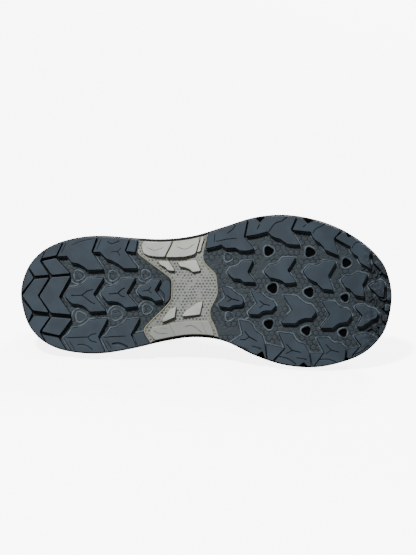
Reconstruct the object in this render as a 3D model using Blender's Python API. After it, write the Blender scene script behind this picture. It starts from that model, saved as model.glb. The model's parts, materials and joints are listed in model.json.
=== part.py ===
"""Right trail running shoe, empty, lying on its inner side.

Every piece is drawn in the shoe's own frame: X runs from heel to toe, Y towards the inner side and
Z up from the ground under the lugs. A carrier empty then lays the whole shoe on its inner side, on
the edge of the sole and the side of the upper, with the tread facing -Y.
"""

import math
from typing import NamedTuple

import bmesh
import bpy
import numpy as np
from mathutils import Matrix, Vector
from mathutils.geometry import intersect_point_tri

MM = 0.001

# Lengths and widths of the sole
SOLE_LENGTH = 286 * MM
BALL_WIDTH = 117 * MM
OUTSOLE_INSET = 1.0 * MM
PLATE_INSET = 2.1 * MM
FEATHER_INSET = 7.6 * MM

# Heights of the sole
LUG_HEIGHT = 4.5 * MM
BLOCK_HEIGHT = 1.8 * MM
OUTSOLE_BASE = 2.2 * MM
HEEL_DECK = 27.5 * MM
FOREFOOT_DECK = 19 * MM
TOE_SPRING = 13 * MM
HEEL_BEVEL = 3 * MM
ARCH_RISE = 2.5 * MM
INSOLE_THICKNESS = 4 * MM
LIP_HEIGHT = 4 * MM

# Heights of the upper above the ground
HEEL_HEIGHT = 97 * MM
ANKLE_HEIGHT = 80 * MM
INSTEP_HEIGHT = 101 * MM
VAMP_HEIGHT = 64 * MM
SIDE_BULGE = 6 * MM

# Walls and thicknesses
UPPER_WALL = 2.0 * MM
COLLAR_WALL = 5.0 * MM
OVERLAY_THICKNESS = 1.2 * MM
TONGUE_THICKNESS = 5 * MM
TONGUE_CROWN = 1.0 * MM
TONGUE_RISE = 16 * MM
TONGUE_SETBACK = 21 * MM

# Fastening
EYELET_PAIRS = 6
EYELET_RADIUS = 3.4 * MM
EYELET_HOLE = 1.8 * MM
EYELET_THICKNESS = 0.7 * MM
LACE_WIDTH = 5.0 * MM
LACE_THICKNESS = 1.4 * MM

# Tread details
GROOVE = 1.7 * MM
LUG_DRAFT = 0.7 * MM
LUG_ROOT = 1.0 * MM
DRAIN_RADIUS = 3.4 * MM
NOTCH_WIDTH = 6.5 * MM
NOTCH_DEPTH = 4.0 * MM

# Clearances
GAP = 0.3 * MM
OVERLAY_GAP = 0.5 * MM
SEAM_GAP = 0.5 * MM
LACE_CLEARANCE = 0.7 * MM
TONGUE_CLEARANCE = 1.2 * MM
INSOLE_CLEARANCE = 1.9 * MM

# Shape of the long profile, as shares of the sole length
HEEL_FLAT = 0.09
TOE_FLAT = 0.705
ARCH_START = 0.33
ARCH_END = 0.52
DROP_START = 0.25
DROP_END = 0.68
DECK_SPRING = 0.85

# Balance point of the shoe, as shares of its length and heel height
BALANCE_ALONG = 0.46
BALANCE_HEIGHT = 0.34

# Places on the upper, counted in ribs from the heel and as shares of their rise
EYELET_FIRST = 7.75
EYELET_LAST = 12.6
EYELET_RISE = 0.90
LACE_SLANT = 0.2
TONGUE_FIRST = 7.5
TONGUE_LAST = 13.2
TONGUE_SECTIONS = 8

RING_STATIONS = 34
RIB_STEPS = 2
UPPER_LEVELS = 10


class Station(NamedTuple):
    """One place along the sole outline."""

    along: float     # share of SOLE_LENGTH from the heel
    lateral: float   # share of BALL_WIDTH out to the outer side
    medial: float    # share of BALL_WIDTH out to the inner side


HEEL_TIP_SIDE = -0.013
TOE_TIP_SIDE = 0.006
OUTLINE = (
    Station(0.016, 0.169, 0.166),
    Station(0.049, 0.274, 0.277),
    Station(0.097, 0.344, 0.346),
    Station(0.161, 0.385, 0.378),
    Station(0.225, 0.394, 0.379),
    Station(0.304, 0.380, 0.347),
    Station(0.385, 0.372, 0.301),
    Station(0.465, 0.394, 0.274),
    Station(0.545, 0.452, 0.298),
    Station(0.626, 0.513, 0.390),
    Station(0.706, 0.532, 0.455),
    Station(0.787, 0.503, 0.472),
    Station(0.857, 0.443, 0.443),
    Station(0.916, 0.358, 0.389),
    Station(0.958, 0.268, 0.306),
    Station(0.986, 0.163, 0.196),
)


class Rib(NamedTuple):
    """One rib of the upper, from the feather line up to the edge of its opening."""

    base: float      # share of SOLE_LENGTH where it leaves the sole
    top: float       # share of SOLE_LENGTH where it ends
    half: float      # share of BALL_WIDTH from the middle to its end
    height: float    # height of its end
    arc: float       # degrees that it turns through, from upright towards level
    lateral: float   # share of SIDE_BULGE on the outer side
    medial: float    # share of SIDE_BULGE on the inner side


RIBS = (
    Rib(0.000, 0.040, 0.000, 1.000 * HEEL_HEIGHT, 30, 0.75, 0.75),
    Rib(0.045, 0.050, 0.115, 0.985 * HEEL_HEIGHT, 30, 0.50, 0.40),
    Rib(0.095, 0.090, 0.195, 0.930 * HEEL_HEIGHT, 32, 0.20, 0.05),
    Rib(0.160, 0.150, 0.245, 1.050 * ANKLE_HEIGHT, 36, 0.05, -0.10),
    Rib(0.240, 0.220, 0.268, 1.000 * ANKLE_HEIGHT, 40, 0.10, 0.10),
    Rib(0.320, 0.290, 0.275, 1.060 * ANKLE_HEIGHT, 46, 0.30, 0.70),
    Rib(0.395, 0.345, 0.225, 0.940 * INSTEP_HEIGHT, 56, 0.60, 1.20),
    Rib(0.465, 0.390, 0.170, 1.000 * INSTEP_HEIGHT, 66, 0.60, 1.40),
    Rib(0.540, 0.445, 0.141, 0.950 * INSTEP_HEIGHT, 74, 0.45, 1.10),
    Rib(0.620, 0.510, 0.128, 0.870 * INSTEP_HEIGHT, 78, 0.30, 0.60),
    Rib(0.700, 0.575, 0.115, 0.785 * INSTEP_HEIGHT, 82, 0.30, 0.35),
    Rib(0.780, 0.630, 0.102, 0.715 * INSTEP_HEIGHT, 85, 0.30, 0.30),
    Rib(0.855, 0.668, 0.083, 1.055 * VAMP_HEIGHT, 87, 0.30, 0.30),
    Rib(0.920, 0.693, 0.058, 1.025 * VAMP_HEIGHT, 88, 0.30, 0.30),
    Rib(0.970, 0.705, 0.030, 1.008 * VAMP_HEIGHT, 88, 0.30, 0.30),
    Rib(1.000, 0.709, 0.000, 1.000 * VAMP_HEIGHT, 88, 0.30, 0.30),
)
TOE_RIB = len(RIBS) - 1
TURN = 2 * TOE_RIB


class SideStep(NamedTuple):
    """One line along the side of the midsole."""

    rise: float      # share of the midsole's height
    inset: float     # share of FEATHER_INSET in from the outline
    lip: float       # share of LIP_HEIGHT above that


SIDE_STEPS = (
    SideStep(0.00, 0.24, 0.0),
    SideStep(0.16, 0.00, 0.0),
    SideStep(0.46, 0.04, 0.0),
    SideStep(0.53, 0.22, 0.0),
    SideStep(0.60, 0.22, 0.0),
    SideStep(0.67, 0.06, 0.0),
    SideStep(1.00, 0.20, 0.6),
    SideStep(1.00, 0.38, 1.0),
    SideStep(1.00, 0.50, 0.9),
    SideStep(1.00, 0.66, 0.0),
)


class Zigzag(NamedTuple):
    """One zigzag groove across the back of the heel."""

    middle: float      # share of SOLE_LENGTH on the middle line
    wing: float        # share of SOLE_LENGTH at its first corner
    wing_side: float   # share of BALL_WIDTH at that corner
    dip: float         # share of SOLE_LENGTH at its second corner
    dip_side: float    # share of BALL_WIDTH at that corner
    edge: float        # share of SOLE_LENGTH at the rim


ZIGZAGS = (
    Zigzag(0.004, 0.035, 0.111, 0.022, 0.175, 0.024),
    Zigzag(0.047, 0.082, 0.127, 0.054, 0.232, 0.070),
    Zigzag(0.105, 0.138, 0.136, 0.102, 0.260, 0.120),
)


class Arrow(NamedTuple):
    """One arrow lug, in shares of SOLE_LENGTH and BALL_WIDTH."""

    nose: tuple
    notch: tuple
    lateral_tip: tuple
    medial_tip: tuple
    nose_width: float  # share of SOLE_LENGTH


HEEL_ARROWS = (
    Arrow((0.119, 0.000), (0.194, -0.004), (0.226, -0.120), (0.229, 0.105), 0.044),
    Arrow((0.217, -0.009), (0.285, -0.017), (0.310, -0.119), (0.316, 0.074), 0.037),
    Arrow((0.315, -0.026), (0.360, -0.034), (0.378, -0.104), (0.383, 0.031), 0.024),
)
FOREFOOT_ARROWS = (
    Arrow((0.556, -0.151), (0.608, -0.154), (0.626, -0.229), (0.631, -0.086), 0.031),
    Arrow((0.654, -0.158), (0.715, -0.162), (0.740, -0.250), (0.743, -0.083), 0.037),
    Arrow((0.757, -0.158), (0.823, -0.131), (0.848, -0.224), (0.841, -0.042), 0.033),
    Arrow((0.862, -0.101), (0.916, -0.071), (0.931, -0.145), (0.921, 0.003), 0.024),
    Arrow((0.935, -0.064), (0.967, -0.043), (0.976, -0.098), (0.975, 0.013), 0.014),
    Arrow((0.600, 0.032), (0.552, 0.006), (0.542, -0.056), (0.531, 0.072), 0.026),
    Arrow((0.685, 0.066), (0.635, 0.051), (0.616, -0.026), (0.611, 0.121), 0.031),
    Arrow((0.793, 0.105), (0.731, 0.094), (0.707, 0.002), (0.699, 0.179), 0.037),
    Arrow((0.888, 0.130), (0.832, 0.128), (0.808, 0.038), (0.803, 0.214), 0.034),
    Arrow((0.962, 0.120), (0.919, 0.133), (0.899, 0.067), (0.905, 0.197), 0.024),
)
ARROW_WING = 0.55
ARROW_SHOULDER = 0.21


class EdgeLug(NamedTuple):
    """One lug along the rim, half an arrow, in shares of SOLE_LENGTH and BALL_WIDTH."""

    root: tuple
    tip: tuple
    arm: tuple
    wing: float        # share of SOLE_LENGTH
    notch_edge: float  # share of SOLE_LENGTH where its hollow end meets the rim
    root_edge: float   # share of SOLE_LENGTH where its root meets the rim


HEEL_EDGE_LUGS = (
    EdgeLug((0.123, -0.267), (0.224, -0.172), (0.192, -0.291), 0.043, 0.207, 0.125),
    EdgeLug((0.218, -0.291), (0.315, -0.179), (0.281, -0.295), 0.035, 0.294, 0.217),
    EdgeLug((0.130, 0.259), (0.234, 0.153), (0.209, 0.272), 0.044, 0.229, 0.142),
    EdgeLug((0.231, 0.262), (0.323, 0.150), (0.297, 0.255), 0.035, 0.314, 0.241),
)
FOREFOOT_EDGE_LUGS = (
    EdgeLug((0.537, -0.340), (0.625, -0.301), (0.600, -0.386), 0.034, 0.610, 0.526),
    EdgeLug((0.664, -0.423), (0.750, -0.337), (0.726, -0.436), 0.033, 0.741, 0.663),
    EdgeLug((0.778, -0.419), (0.853, -0.275), (0.841, -0.376), 0.035, 0.862, 0.787),
    EdgeLug((0.888, -0.321), (0.938, -0.192), (0.935, -0.265), 0.021, 0.946, 0.900),
    EdgeLug((0.955, -0.205), (0.983, -0.111), (0.979, -0.150), 0.010, 0.982, 0.961),
    EdgeLug((0.657, 0.312), (0.587, 0.171), (0.597, 0.261), 0.030, 0.566, 0.635),
    EdgeLug((0.776, 0.372), (0.692, 0.248), (0.710, 0.346), 0.038, 0.678, 0.747),
    EdgeLug((0.872, 0.352), (0.794, 0.279), (0.815, 0.368), 0.033, 0.786, 0.864),
    EdgeLug((0.955, 0.286), (0.897, 0.260), (0.915, 0.325), 0.026, 0.892, 0.953),
)


class RimBlock(NamedTuple):
    """One block between two rim lugs, in shares of SOLE_LENGTH and BALL_WIDTH."""

    rear: tuple
    front: tuple
    rear_edge: float
    front_edge: float


FOREFOOT_BLOCKS = (
    RimBlock((0.607, -0.397), (0.657, -0.424), 0.617, 0.655),
    RimBlock((0.733, -0.443), (0.772, -0.424), 0.748, 0.780),
    RimBlock((0.848, -0.379), (0.882, -0.332), 0.868, 0.893),
    RimBlock((0.664, 0.322), (0.704, 0.350), 0.641, 0.672),
    RimBlock((0.781, 0.378), (0.809, 0.376), 0.753, 0.780),
    RimBlock((0.876, 0.360), (0.907, 0.338), 0.870, 0.887),
)
PLATE_BLOCKS = (
    RimBlock((0.330, -0.274), (0.386, -0.260), 0.337, 0.402),
    RimBlock((0.393, -0.257), (0.470, -0.282), 0.411, 0.477),
    RimBlock((0.367, 0.210), (0.500, 0.172), 0.360, 0.520),
)

PLATE_WEDGES = (
    ((0.369, -0.231), (0.407, -0.231), (0.416, -0.162), (0.393, -0.175)),
    ((0.421, -0.222), (0.484, -0.233), (0.485, -0.158), (0.455, -0.171)),
    ((0.376, 0.158), (0.399, 0.110), (0.419, 0.079), (0.412, 0.140)),
    ((0.434, 0.136), (0.455, 0.085), (0.489, 0.041), (0.481, 0.129)),
)

# Seams of the grey plate, as (share of BALL_WIDTH across, share of SOLE_LENGTH along)
REAR_SEAM = (
    (-0.427, 0.318), (-0.316, 0.313), (-0.252, 0.332), (-0.137, 0.390), (-0.068, 0.406),
    (0.021, 0.405), (0.056, 0.398), (0.184, 0.344), (0.248, 0.336), (0.312, 0.355), (0.385, 0.371),
)
FRONT_SEAM = (
    (-0.462, 0.509), (-0.397, 0.502), (-0.286, 0.490), (-0.209, 0.497), (-0.145, 0.520),
    (-0.034, 0.529), (0.068, 0.510), (0.111, 0.509), (0.214, 0.522), (0.274, 0.530), (0.359, 0.542),
)

NOTCHES = ((0.644, -1), (0.771, -1), (0.882, -1), (0.645, 1), (0.759, 1), (0.872, 1))

DRAINS = (
    (0.666, -0.291), (0.775, -0.286), (0.873, -0.214), (0.677, -0.047), (0.773, -0.026),
    (0.871, 0.011), (0.667, 0.188), (0.765, 0.231), (0.866, 0.244),
)


class Finish(NamedTuple):
    """Colour and gloss of one material."""

    colour: tuple
    roughness: float


SLATE_RUBBER = Finish((0.060, 0.095, 0.125), 0.72)
GREY_PLATE = Finish((0.340, 0.355, 0.320), 0.55)
BLACK_FOAM = Finish((0.014, 0.014, 0.016), 0.80)
GREY_INSOLE = Finish((0.090, 0.095, 0.100), 0.90)
BLACK_MESH = Finish((0.020, 0.021, 0.024), 0.88)
DARK_OVERLAY = Finish((0.030, 0.034, 0.040), 0.55)
SLATE_CORD = Finish((0.070, 0.100, 0.125), 0.85)
DARK_EYELET = Finish((0.040, 0.043, 0.048), 0.40)


def closed_curve(points, places):
    """Read a smooth closed curve through a ring of points, at places counted in points."""
    ring = np.asarray(points, dtype=float)
    places = np.asarray(places, dtype=float)
    first = np.floor(places).astype(int)
    part = (places - first)[:, None]
    before, start, end, after = (ring[(first + step) % len(ring)] for step in (-1, 0, 1, 2))
    slope = end - before
    bend = 2 * before - 5 * start + 4 * end - after
    twist = 3 * start - before - 3 * end + after
    return 0.5 * (2 * start + slope * part + bend * part ** 2 + twist * part ** 3)


def smooth_step(value):
    """Ease a value from 0 to 1."""
    value = min(max(value, 0.0), 1.0)
    return value * value * (3 - 2 * value)


def tread(x):
    """Height of the lugs' ground faces, level between the heel bevel and the toe spring."""
    rear = max(0.0, HEEL_FLAT - x / SOLE_LENGTH) / HEEL_FLAT
    front = max(0.0, x / SOLE_LENGTH - TOE_FLAT) / (1 - TOE_FLAT)
    return HEEL_BEVEL * rear ** 2 + TOE_SPRING * front ** 1.8


def base(x):
    """Height of the outsole's web between the lugs, raised along the arch."""
    arch = (x / SOLE_LENGTH - ARCH_START) / (ARCH_END - ARCH_START)
    lift = math.sin(math.pi * min(max(arch, 0.0), 1.0)) ** 2
    return tread(x) + LUG_HEIGHT + ARCH_RISE * lift


def midsole_floor(x):
    """Height of the underside of the midsole."""
    return base(x) + OUTSOLE_BASE + GAP


def deck(x):
    """Height of the top of the midsole, which drops from heel to forefoot."""
    drop = smooth_step((x / SOLE_LENGTH - DROP_START) / (DROP_END - DROP_START))
    level = HEEL_DECK + (FOREFOOT_DECK - HEEL_DECK) * drop
    front = max(0.0, x / SOLE_LENGTH - TOE_FLAT) / (1 - TOE_FLAT)
    return level + TOE_SPRING * DECK_SPRING * front ** 1.8


def plan_loop(inset):
    """Dense outline of the sole, moved in by an inset, from the heel by the outer side."""
    lateral = [(row.along * SOLE_LENGTH, -row.lateral * BALL_WIDTH) for row in OUTLINE]
    medial = [(row.along * SOLE_LENGTH, row.medial * BALL_WIDTH) for row in reversed(OUTLINE)]
    heel = (0.0, HEEL_TIP_SIDE * BALL_WIDTH)
    toe = (SOLE_LENGTH, TOE_TIP_SIDE * BALL_WIDTH)
    points = [heel, *lateral, toe, *medial]
    loop = closed_curve(points, np.linspace(0, len(points), 720, endpoint=False))
    along = np.roll(loop, -1, axis=0) - np.roll(loop, 1, axis=0)
    along /= np.linalg.norm(along, axis=1)[:, None]
    outward = np.column_stack((along[:, 1], -along[:, 0]))
    return loop - outward * inset


def plan_sides(inset):
    """Split an inset outline into its outer and inner side, each from heel to toe."""
    loop = plan_loop(inset)
    loop = np.roll(loop, -int(np.argmin(loop[:, 0])), axis=0)
    toe = int(np.argmax(loop[:, 0]))
    lateral = loop[:toe + 1]
    medial = np.vstack((loop[:1], loop[toe:][::-1]))
    return lateral, medial


def edge_side(x, side, inset):
    """Place across the shoe of an inset outline at x, on side -1 (outer) or 1 (inner)."""
    line = plan_sides(inset)[0 if side < 0 else 1]
    return float(np.interp(x, line[:, 0], line[:, 1]))


def plan_ring(inset):
    """Ring of paired outline points: heel tip, outer side, toe tip, inner side back."""
    lateral, medial = plan_sides(inset)
    heel, toe = lateral[0], lateral[-1]
    steps = np.arange(1, RING_STATIONS + 1) / (RING_STATIONS + 1)
    xs = heel[0] + (toe[0] - heel[0]) * (1 - np.cos(math.pi * steps)) / 2
    outer = np.interp(xs, lateral[:, 0], lateral[:, 1])
    inner = np.interp(xs, medial[:, 0], medial[:, 1])
    ring = [tuple(heel), *zip(xs, outer), tuple(toe), *zip(xs[::-1], inner[::-1])]
    return [(float(x), float(y)) for x, y in ring]


def shrink(outline, distance):
    """Move each side of an anticlockwise outline inwards by a distance."""
    ring = np.asarray(outline, dtype=float)
    ahead = np.roll(ring, -1, axis=0) - ring
    ahead /= np.linalg.norm(ahead, axis=1)[:, None]
    inward = np.column_stack((-ahead[:, 1], ahead[:, 0]))
    before = np.roll(inward, 1, axis=0)
    middle = inward + before
    reach = np.maximum((middle * inward).sum(axis=1), 0.5)[:, None]
    return [tuple(point) for point in ring + middle / reach * distance]


def anticlockwise(outline):
    """Give an outline its points in anticlockwise order."""
    ring = np.asarray(outline, dtype=float)
    ahead = np.roll(ring, -1, axis=0)
    area = (ring[:, 0] * ahead[:, 1] - ahead[:, 0] * ring[:, 1]).sum()
    return list(outline) if area > 0 else list(outline)[::-1]


def loft(shape, rings, paired=False):
    """Join rings of points into one closed body, from its underside up."""
    rows = [[shape.verts.new(point) for point in ring] for ring in rings]
    size = len(rows[0])
    for low, high in zip(rows, rows[1:]):
        for k in range(size):
            after = (k + 1) % size
            shape.faces.new((low[k], low[after], high[after], high[k]))
    if not paired:
        shape.faces.new(rows[0][::-1])
        shape.faces.new(rows[-1])
        return
    stations = size // 2 - 1
    for row, up in ((rows[0], False), (rows[-1], True)):
        rungs = [(row[k], row[-k]) for k in range(1, stations + 1)]
        faces = [(row[0], row[1], row[-1])]
        faces += [(a[0], b[0], b[1], a[1]) for a, b in zip(rungs, rungs[1:])]
        faces.append((row[stations], row[stations + 1], row[stations + 2]))
        for face in faces:
            shape.faces.new(face if up else face[::-1])


def make_material(name, finish):
    """Make a Principled material."""
    material = bpy.data.materials.new(name)
    material.use_nodes = True
    shader = material.node_tree.nodes["Principled BSDF"]
    shader.inputs["Base Color"].default_value = (*finish.colour, 1)
    shader.inputs["Roughness"].default_value = finish.roughness
    shader.inputs["Metallic"].default_value = 0
    material.diffuse_color = (*finish.colour, 1)
    return material


def make_object(name, shape, finish, carrier):
    """Make a named piece from a shape, with its own material, on the carrier."""
    mesh = bpy.data.meshes.new(name)
    shape.to_mesh(mesh)
    shape.free()
    piece = bpy.data.objects.new(name, mesh)
    bpy.context.collection.objects.link(piece)
    piece.parent = carrier
    if finish is None:
        piece.hide_render = True
        piece.display_type = "WIRE"
    else:
        mesh.materials.append(make_material(name + "_finish", finish))
    return piece


def combine(piece, form, operation):
    """Join a form to a piece, or cut it out of the piece."""
    change = piece.modifiers.new(form.name, "BOOLEAN")
    change.operation = operation
    change.solver = "EXACT"
    change.object = form


def scaled(point):
    """Turn a point in shares into one in metres."""
    return (point[0] * SOLE_LENGTH, point[1] * BALL_WIDTH)


def hollow_side(shoulder, root):
    """Two points of the curved side between an arrow's shoulder and its wing."""
    across = (shoulder[0] + 0.55 * (root[0] - shoulder[0]), shoulder[1] + 0.20 * (root[1] - shoulder[1]))
    close = (shoulder[0] + 0.84 * (root[0] - shoulder[0]), shoulder[1] + 0.57 * (root[1] - shoulder[1]))
    return [across, close]


def arrow_outline(row):
    """Outline of an arrow lug, pointed at its nose and hollow at its other end."""
    nose = scaled(row.nose)
    notch = scaled(row.notch)
    axis = np.subtract(notch, nose)
    width = row.nose_width * SOLE_LENGTH
    left = [nose]
    for tip, side in ((scaled(row.lateral_tip), -1), (scaled(row.medial_tip), 1)):
        shoulder = (nose[0] + ARROW_SHOULDER * axis[0], nose[1] + side * width / 2)
        root = (tip[0] - ARROW_WING * axis[0], tip[1])
        flank = [shoulder, *hollow_side(shoulder, root), root, tip]
        left += [*flank, notch] if side < 0 else flank[::-1]
    return anticlockwise(left)


def rim_points(start, end, side, inset, count=5):
    """Points along the rim between two places."""
    return [(x, edge_side(x, side, inset)) for x in np.linspace(start, end, count)]


def edge_outline(row):
    """Outline of a rim lug, half an arrow that runs out to the edge of the sole."""
    root = scaled(row.root)
    tip = scaled(row.tip)
    side = math.copysign(1, root[1])
    wing = math.copysign(row.wing * SOLE_LENGTH, root[0] - tip[0])
    turn = (tip[0] + wing, tip[1])
    rim = rim_points(row.root_edge * SOLE_LENGTH, row.notch_edge * SOLE_LENGTH, side,
                     OUTSOLE_INSET + GAP)
    return anticlockwise([*rim, scaled(row.arm), tip, turn, *hollow_side(root, turn)[::-1], root])


def block_outline(row, inset):
    """Outline of a block that runs out to the rim."""
    side = math.copysign(1, row.rear[1])
    rim = rim_points(row.rear_edge * SOLE_LENGTH, row.front_edge * SOLE_LENGTH, side, inset, 3)
    return anticlockwise([*rim, scaled(row.front), scaled(row.rear)])


def zigzag_line(row, sides, shift):
    """Points of a zigzag groove's edge at places across the shoe."""
    corners = (0.0, row.wing_side * BALL_WIDTH, row.dip_side * BALL_WIDTH, BALL_WIDTH / 2)
    heights = (row.middle, row.wing, row.dip, row.edge)
    return [(float(np.interp(abs(y), corners, heights)) * SOLE_LENGTH + shift, y) for y in sides]


def row_edge(row, near, far, side, shift):
    """One edge of a heel row's part, between two of its corners or out to the rim."""
    half = GROOVE / 2
    start = getattr(row, near) * BALL_WIDTH + half
    if far:
        end = getattr(row, far) * BALL_WIDTH - half
        return zigzag_line(row, (side * start, side * end), shift)
    x = row.edge * SOLE_LENGTH + shift
    rim = abs(edge_side(x, side, OUTSOLE_INSET + GAP))
    dip = row.dip_side * BALL_WIDTH
    places = [start, dip] if start < dip < rim - GROOVE else [start]
    return zigzag_line(row, [side * y for y in places], shift) + [(x, side * rim)]


def row_part(rear, front, near, far, side):
    """Outline of one part of a heel row, between two zigzag grooves."""
    half = GROOVE / 2
    start = row_edge(rear, near, far, side, half)
    return start + row_edge(front, near, far, side, -half)[::-1]


def heel_row_outlines():
    """Outlines of the zigzag rows at the back of the heel."""
    half = GROOVE / 2
    first, second, third = ZIGZAGS
    outlines = []
    for rear, front in ((first, second), (second, third)):
        reach = rear.wing_side * BALL_WIDTH - half
        spread = front.wing_side * BALL_WIDTH - half
        outlines.append(zigzag_line(rear, (-reach, 0, reach), half)
                        + zigzag_line(front, (spread, 0, -spread), -half))
    for side in (-1, 1):
        wing = first.wing_side * BALL_WIDTH
        dip = first.dip_side * BALL_WIDTH
        rim = [(x * SOLE_LENGTH, edge_side(x * SOLE_LENGTH, side, OUTSOLE_INSET + GAP))
               for x in (0.007, 0.012, 0.018)]
        outlines.append([*rim, *zigzag_line(first, (side * dip, side * wing, side * wing / 2), -half)])
        outlines.append(row_part(first, second, "wing_side", None, side))
        outlines.append(row_part(second, third, "wing_side", "dip_side", side))
        outlines.append(row_part(second, third, "dip_side", None, side))
    return [anticlockwise(outline) for outline in outlines]


def lug_form(name, outlines, foot, root, carrier):
    """One hidden form that holds many lugs, from their ground faces up into the base."""
    shape = bmesh.new()
    for outline in outlines:
        face = shrink(outline, LUG_DRAFT)
        low = [(x, y, foot(x)) for x, y in face]
        high = [(x, y, root(x)) for x, y in outline]
        loft(shape, [low, high])
    return make_object(name, shape, None, carrier)


def seam_form(name, seam, shift, end, carrier):
    """Hidden form that cuts away the sole from a seam to one end."""
    reach = BALL_WIDTH
    line = [(along * SOLE_LENGTH + shift, side * BALL_WIDTH) for side, along in seam]
    line = [(line[0][0], -reach), *line, (line[-1][0], reach)]
    outline = anticlockwise([*line, (end, reach), (end, -reach)])
    shape = bmesh.new()
    loft(shape, [[(x, y, -HEEL_DECK) for x, y in outline], [(x, y, 2 * HEEL_DECK) for x, y in outline]])
    return make_object(name, shape, None, carrier)


def drain_form(carrier):
    """Hidden form of the three-cornered drain holes."""
    shape = bmesh.new()
    for along, side in DRAINS:
        x, y = along * SOLE_LENGTH, side * BALL_WIDTH
        turns = [math.radians(60 * k) for k in range(6)]
        reaches = [DRAIN_RADIUS * (1.0 if k % 2 == 0 else 0.72) for k in range(6)]
        ring = [(x + r * math.cos(a), y + r * math.sin(a)) for a, r in zip(turns, reaches)]
        floor = base(x) - LUG_HEIGHT / 2
        loft(shape, [[(*point, floor) for point in ring],
                     [(*point, floor + LUG_HEIGHT + OUTSOLE_BASE) for point in ring]])
    return make_object("drain_form", shape, None, carrier)


def notch_form(carrier):
    """Hidden form of the notches in the rim of the forefoot."""
    shape = bmesh.new()
    half = NOTCH_WIDTH / 2
    for along, side in NOTCHES:
        x = along * SOLE_LENGTH
        apex = (x, edge_side(x, side, OUTSOLE_INSET + NOTCH_DEPTH))
        outer = [(x + shift, edge_side(x + shift, side, -GAP)) for shift in (-half, half)]
        outline = anticlockwise([apex, *outer])
        loft(shape, [[(*point, -LUG_HEIGHT) for point in outline],
                     [(*point, 2 * HEEL_DECK) for point in outline]])
    return make_object("notch_form", shape, None, carrier)


def base_slab(name, inset, finish, carrier):
    """The full-length web that the outsole's pieces are cut from."""
    ring = plan_ring(inset)
    shape = bmesh.new()
    loft(shape, [[(x, y, base(x)) for x, y in ring],
                 [(x, y, base(x) + OUTSOLE_BASE) for x, y in ring]], paired=True)
    return make_object(name, shape, finish, carrier)


def lug_root(x):
    """Height inside the web where the lugs are rooted."""
    return base(x) + LUG_ROOT


def make_outsole(carrier):
    """Heel and forefoot rubber with their lugs, and the grey plate between them."""
    far = 2 * SOLE_LENGTH
    half = SEAM_GAP / 2
    heel = base_slab("outsole_heel", OUTSOLE_INSET, SLATE_RUBBER, carrier)
    combine(heel, seam_form("heel_trim_form", REAR_SEAM, -half, far, carrier), "DIFFERENCE")
    outlines = heel_row_outlines() + [arrow_outline(row) for row in HEEL_ARROWS]
    outlines += [edge_outline(row) for row in HEEL_EDGE_LUGS]
    combine(heel, lug_form("heel_lug_form", outlines, tread, lug_root, carrier), "UNION")

    forefoot = base_slab("outsole_forefoot", OUTSOLE_INSET, SLATE_RUBBER, carrier)
    combine(forefoot, seam_form("forefoot_trim_form", FRONT_SEAM, half, -far, carrier), "DIFFERENCE")
    combine(forefoot, drain_form(carrier), "DIFFERENCE")
    outlines = [arrow_outline(row) for row in FOREFOOT_ARROWS]
    outlines += [edge_outline(row) for row in FOREFOOT_EDGE_LUGS]
    outlines += [block_outline(row, OUTSOLE_INSET + GAP) for row in FOREFOOT_BLOCKS]
    combine(forefoot, lug_form("forefoot_lug_form", outlines, tread, lug_root, carrier), "UNION")
    combine(forefoot, notch_form(carrier), "DIFFERENCE")

    plate = base_slab("midfoot_plate", PLATE_INSET, GREY_PLATE, carrier)
    combine(plate, seam_form("plate_rear_form", REAR_SEAM, half, -far, carrier), "DIFFERENCE")
    combine(plate, seam_form("plate_front_form", FRONT_SEAM, -half, far, carrier), "DIFFERENCE")
    outlines = [anticlockwise([scaled(point) for point in wedge]) for wedge in PLATE_WEDGES]
    outlines += [block_outline(row, PLATE_INSET + GAP) for row in PLATE_BLOCKS]
    blocks = lug_form("plate_block_form", outlines, lambda x: base(x) - BLOCK_HEIGHT, lug_root, carrier)
    combine(plate, blocks, "UNION")
    return [heel, forefoot, plate]


def make_midsole(carrier):
    """Foam midsole with a groove round its side and a raised lip round the upper."""
    rings = []
    for step in SIDE_STEPS:
        ring = plan_ring(step.inset * FEATHER_INSET)
        rings.append([(x, y, midsole_floor(x) + step.rise * (deck(x) - midsole_floor(x))
                       + step.lip * LIP_HEIGHT) for x, y in ring])
    shape = bmesh.new()
    loft(shape, rings, paired=True)
    return make_object("midsole", shape, BLACK_FOAM, carrier)


def make_insole(carrier):
    """Foam insole that lies on the midsole inside the upper."""
    low = FEATHER_INSET + UPPER_WALL + INSOLE_CLEARANCE
    rings = []
    for inset, rise in ((low + INSOLE_THICKNESS / 4, 0.0), (low, 0.4), (low + INSOLE_THICKNESS / 4, 1.0)):
        rings.append([(x, y, deck(x) + GAP + rise * INSOLE_THICKNESS) for x, y in plan_ring(inset)])
    shape = bmesh.new()
    loft(shape, rings, paired=True)
    return make_object("insole", shape, GREY_INSOLE, carrier)


def rib_table():
    """Starts, ends, arcs and bulges of the ribs, once round the shoe from the heel."""
    lateral, medial = plan_sides(FEATHER_INSET)
    order = [*range(TOE_RIB + 1), *range(TOE_RIB - 1, 0, -1)]
    rows = []
    for place, index in enumerate(order):
        rib = RIBS[index]
        outer = place <= TOE_RIB
        line = lateral if outer else medial
        x = line[0][0] + rib.base * (line[-1][0] - line[0][0])
        y = float(np.interp(x, line[:, 0], line[:, 1]))
        side = -1 if outer else 1
        bulge = (rib.lateral if outer else rib.medial) * SIDE_BULGE
        rows.append((x, y, deck(x) + GAP, rib.top * SOLE_LENGTH, side * rib.half * BALL_WIDTH,
                     rib.height, math.radians(rib.arc), bulge))
    return np.array(rows)


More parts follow.
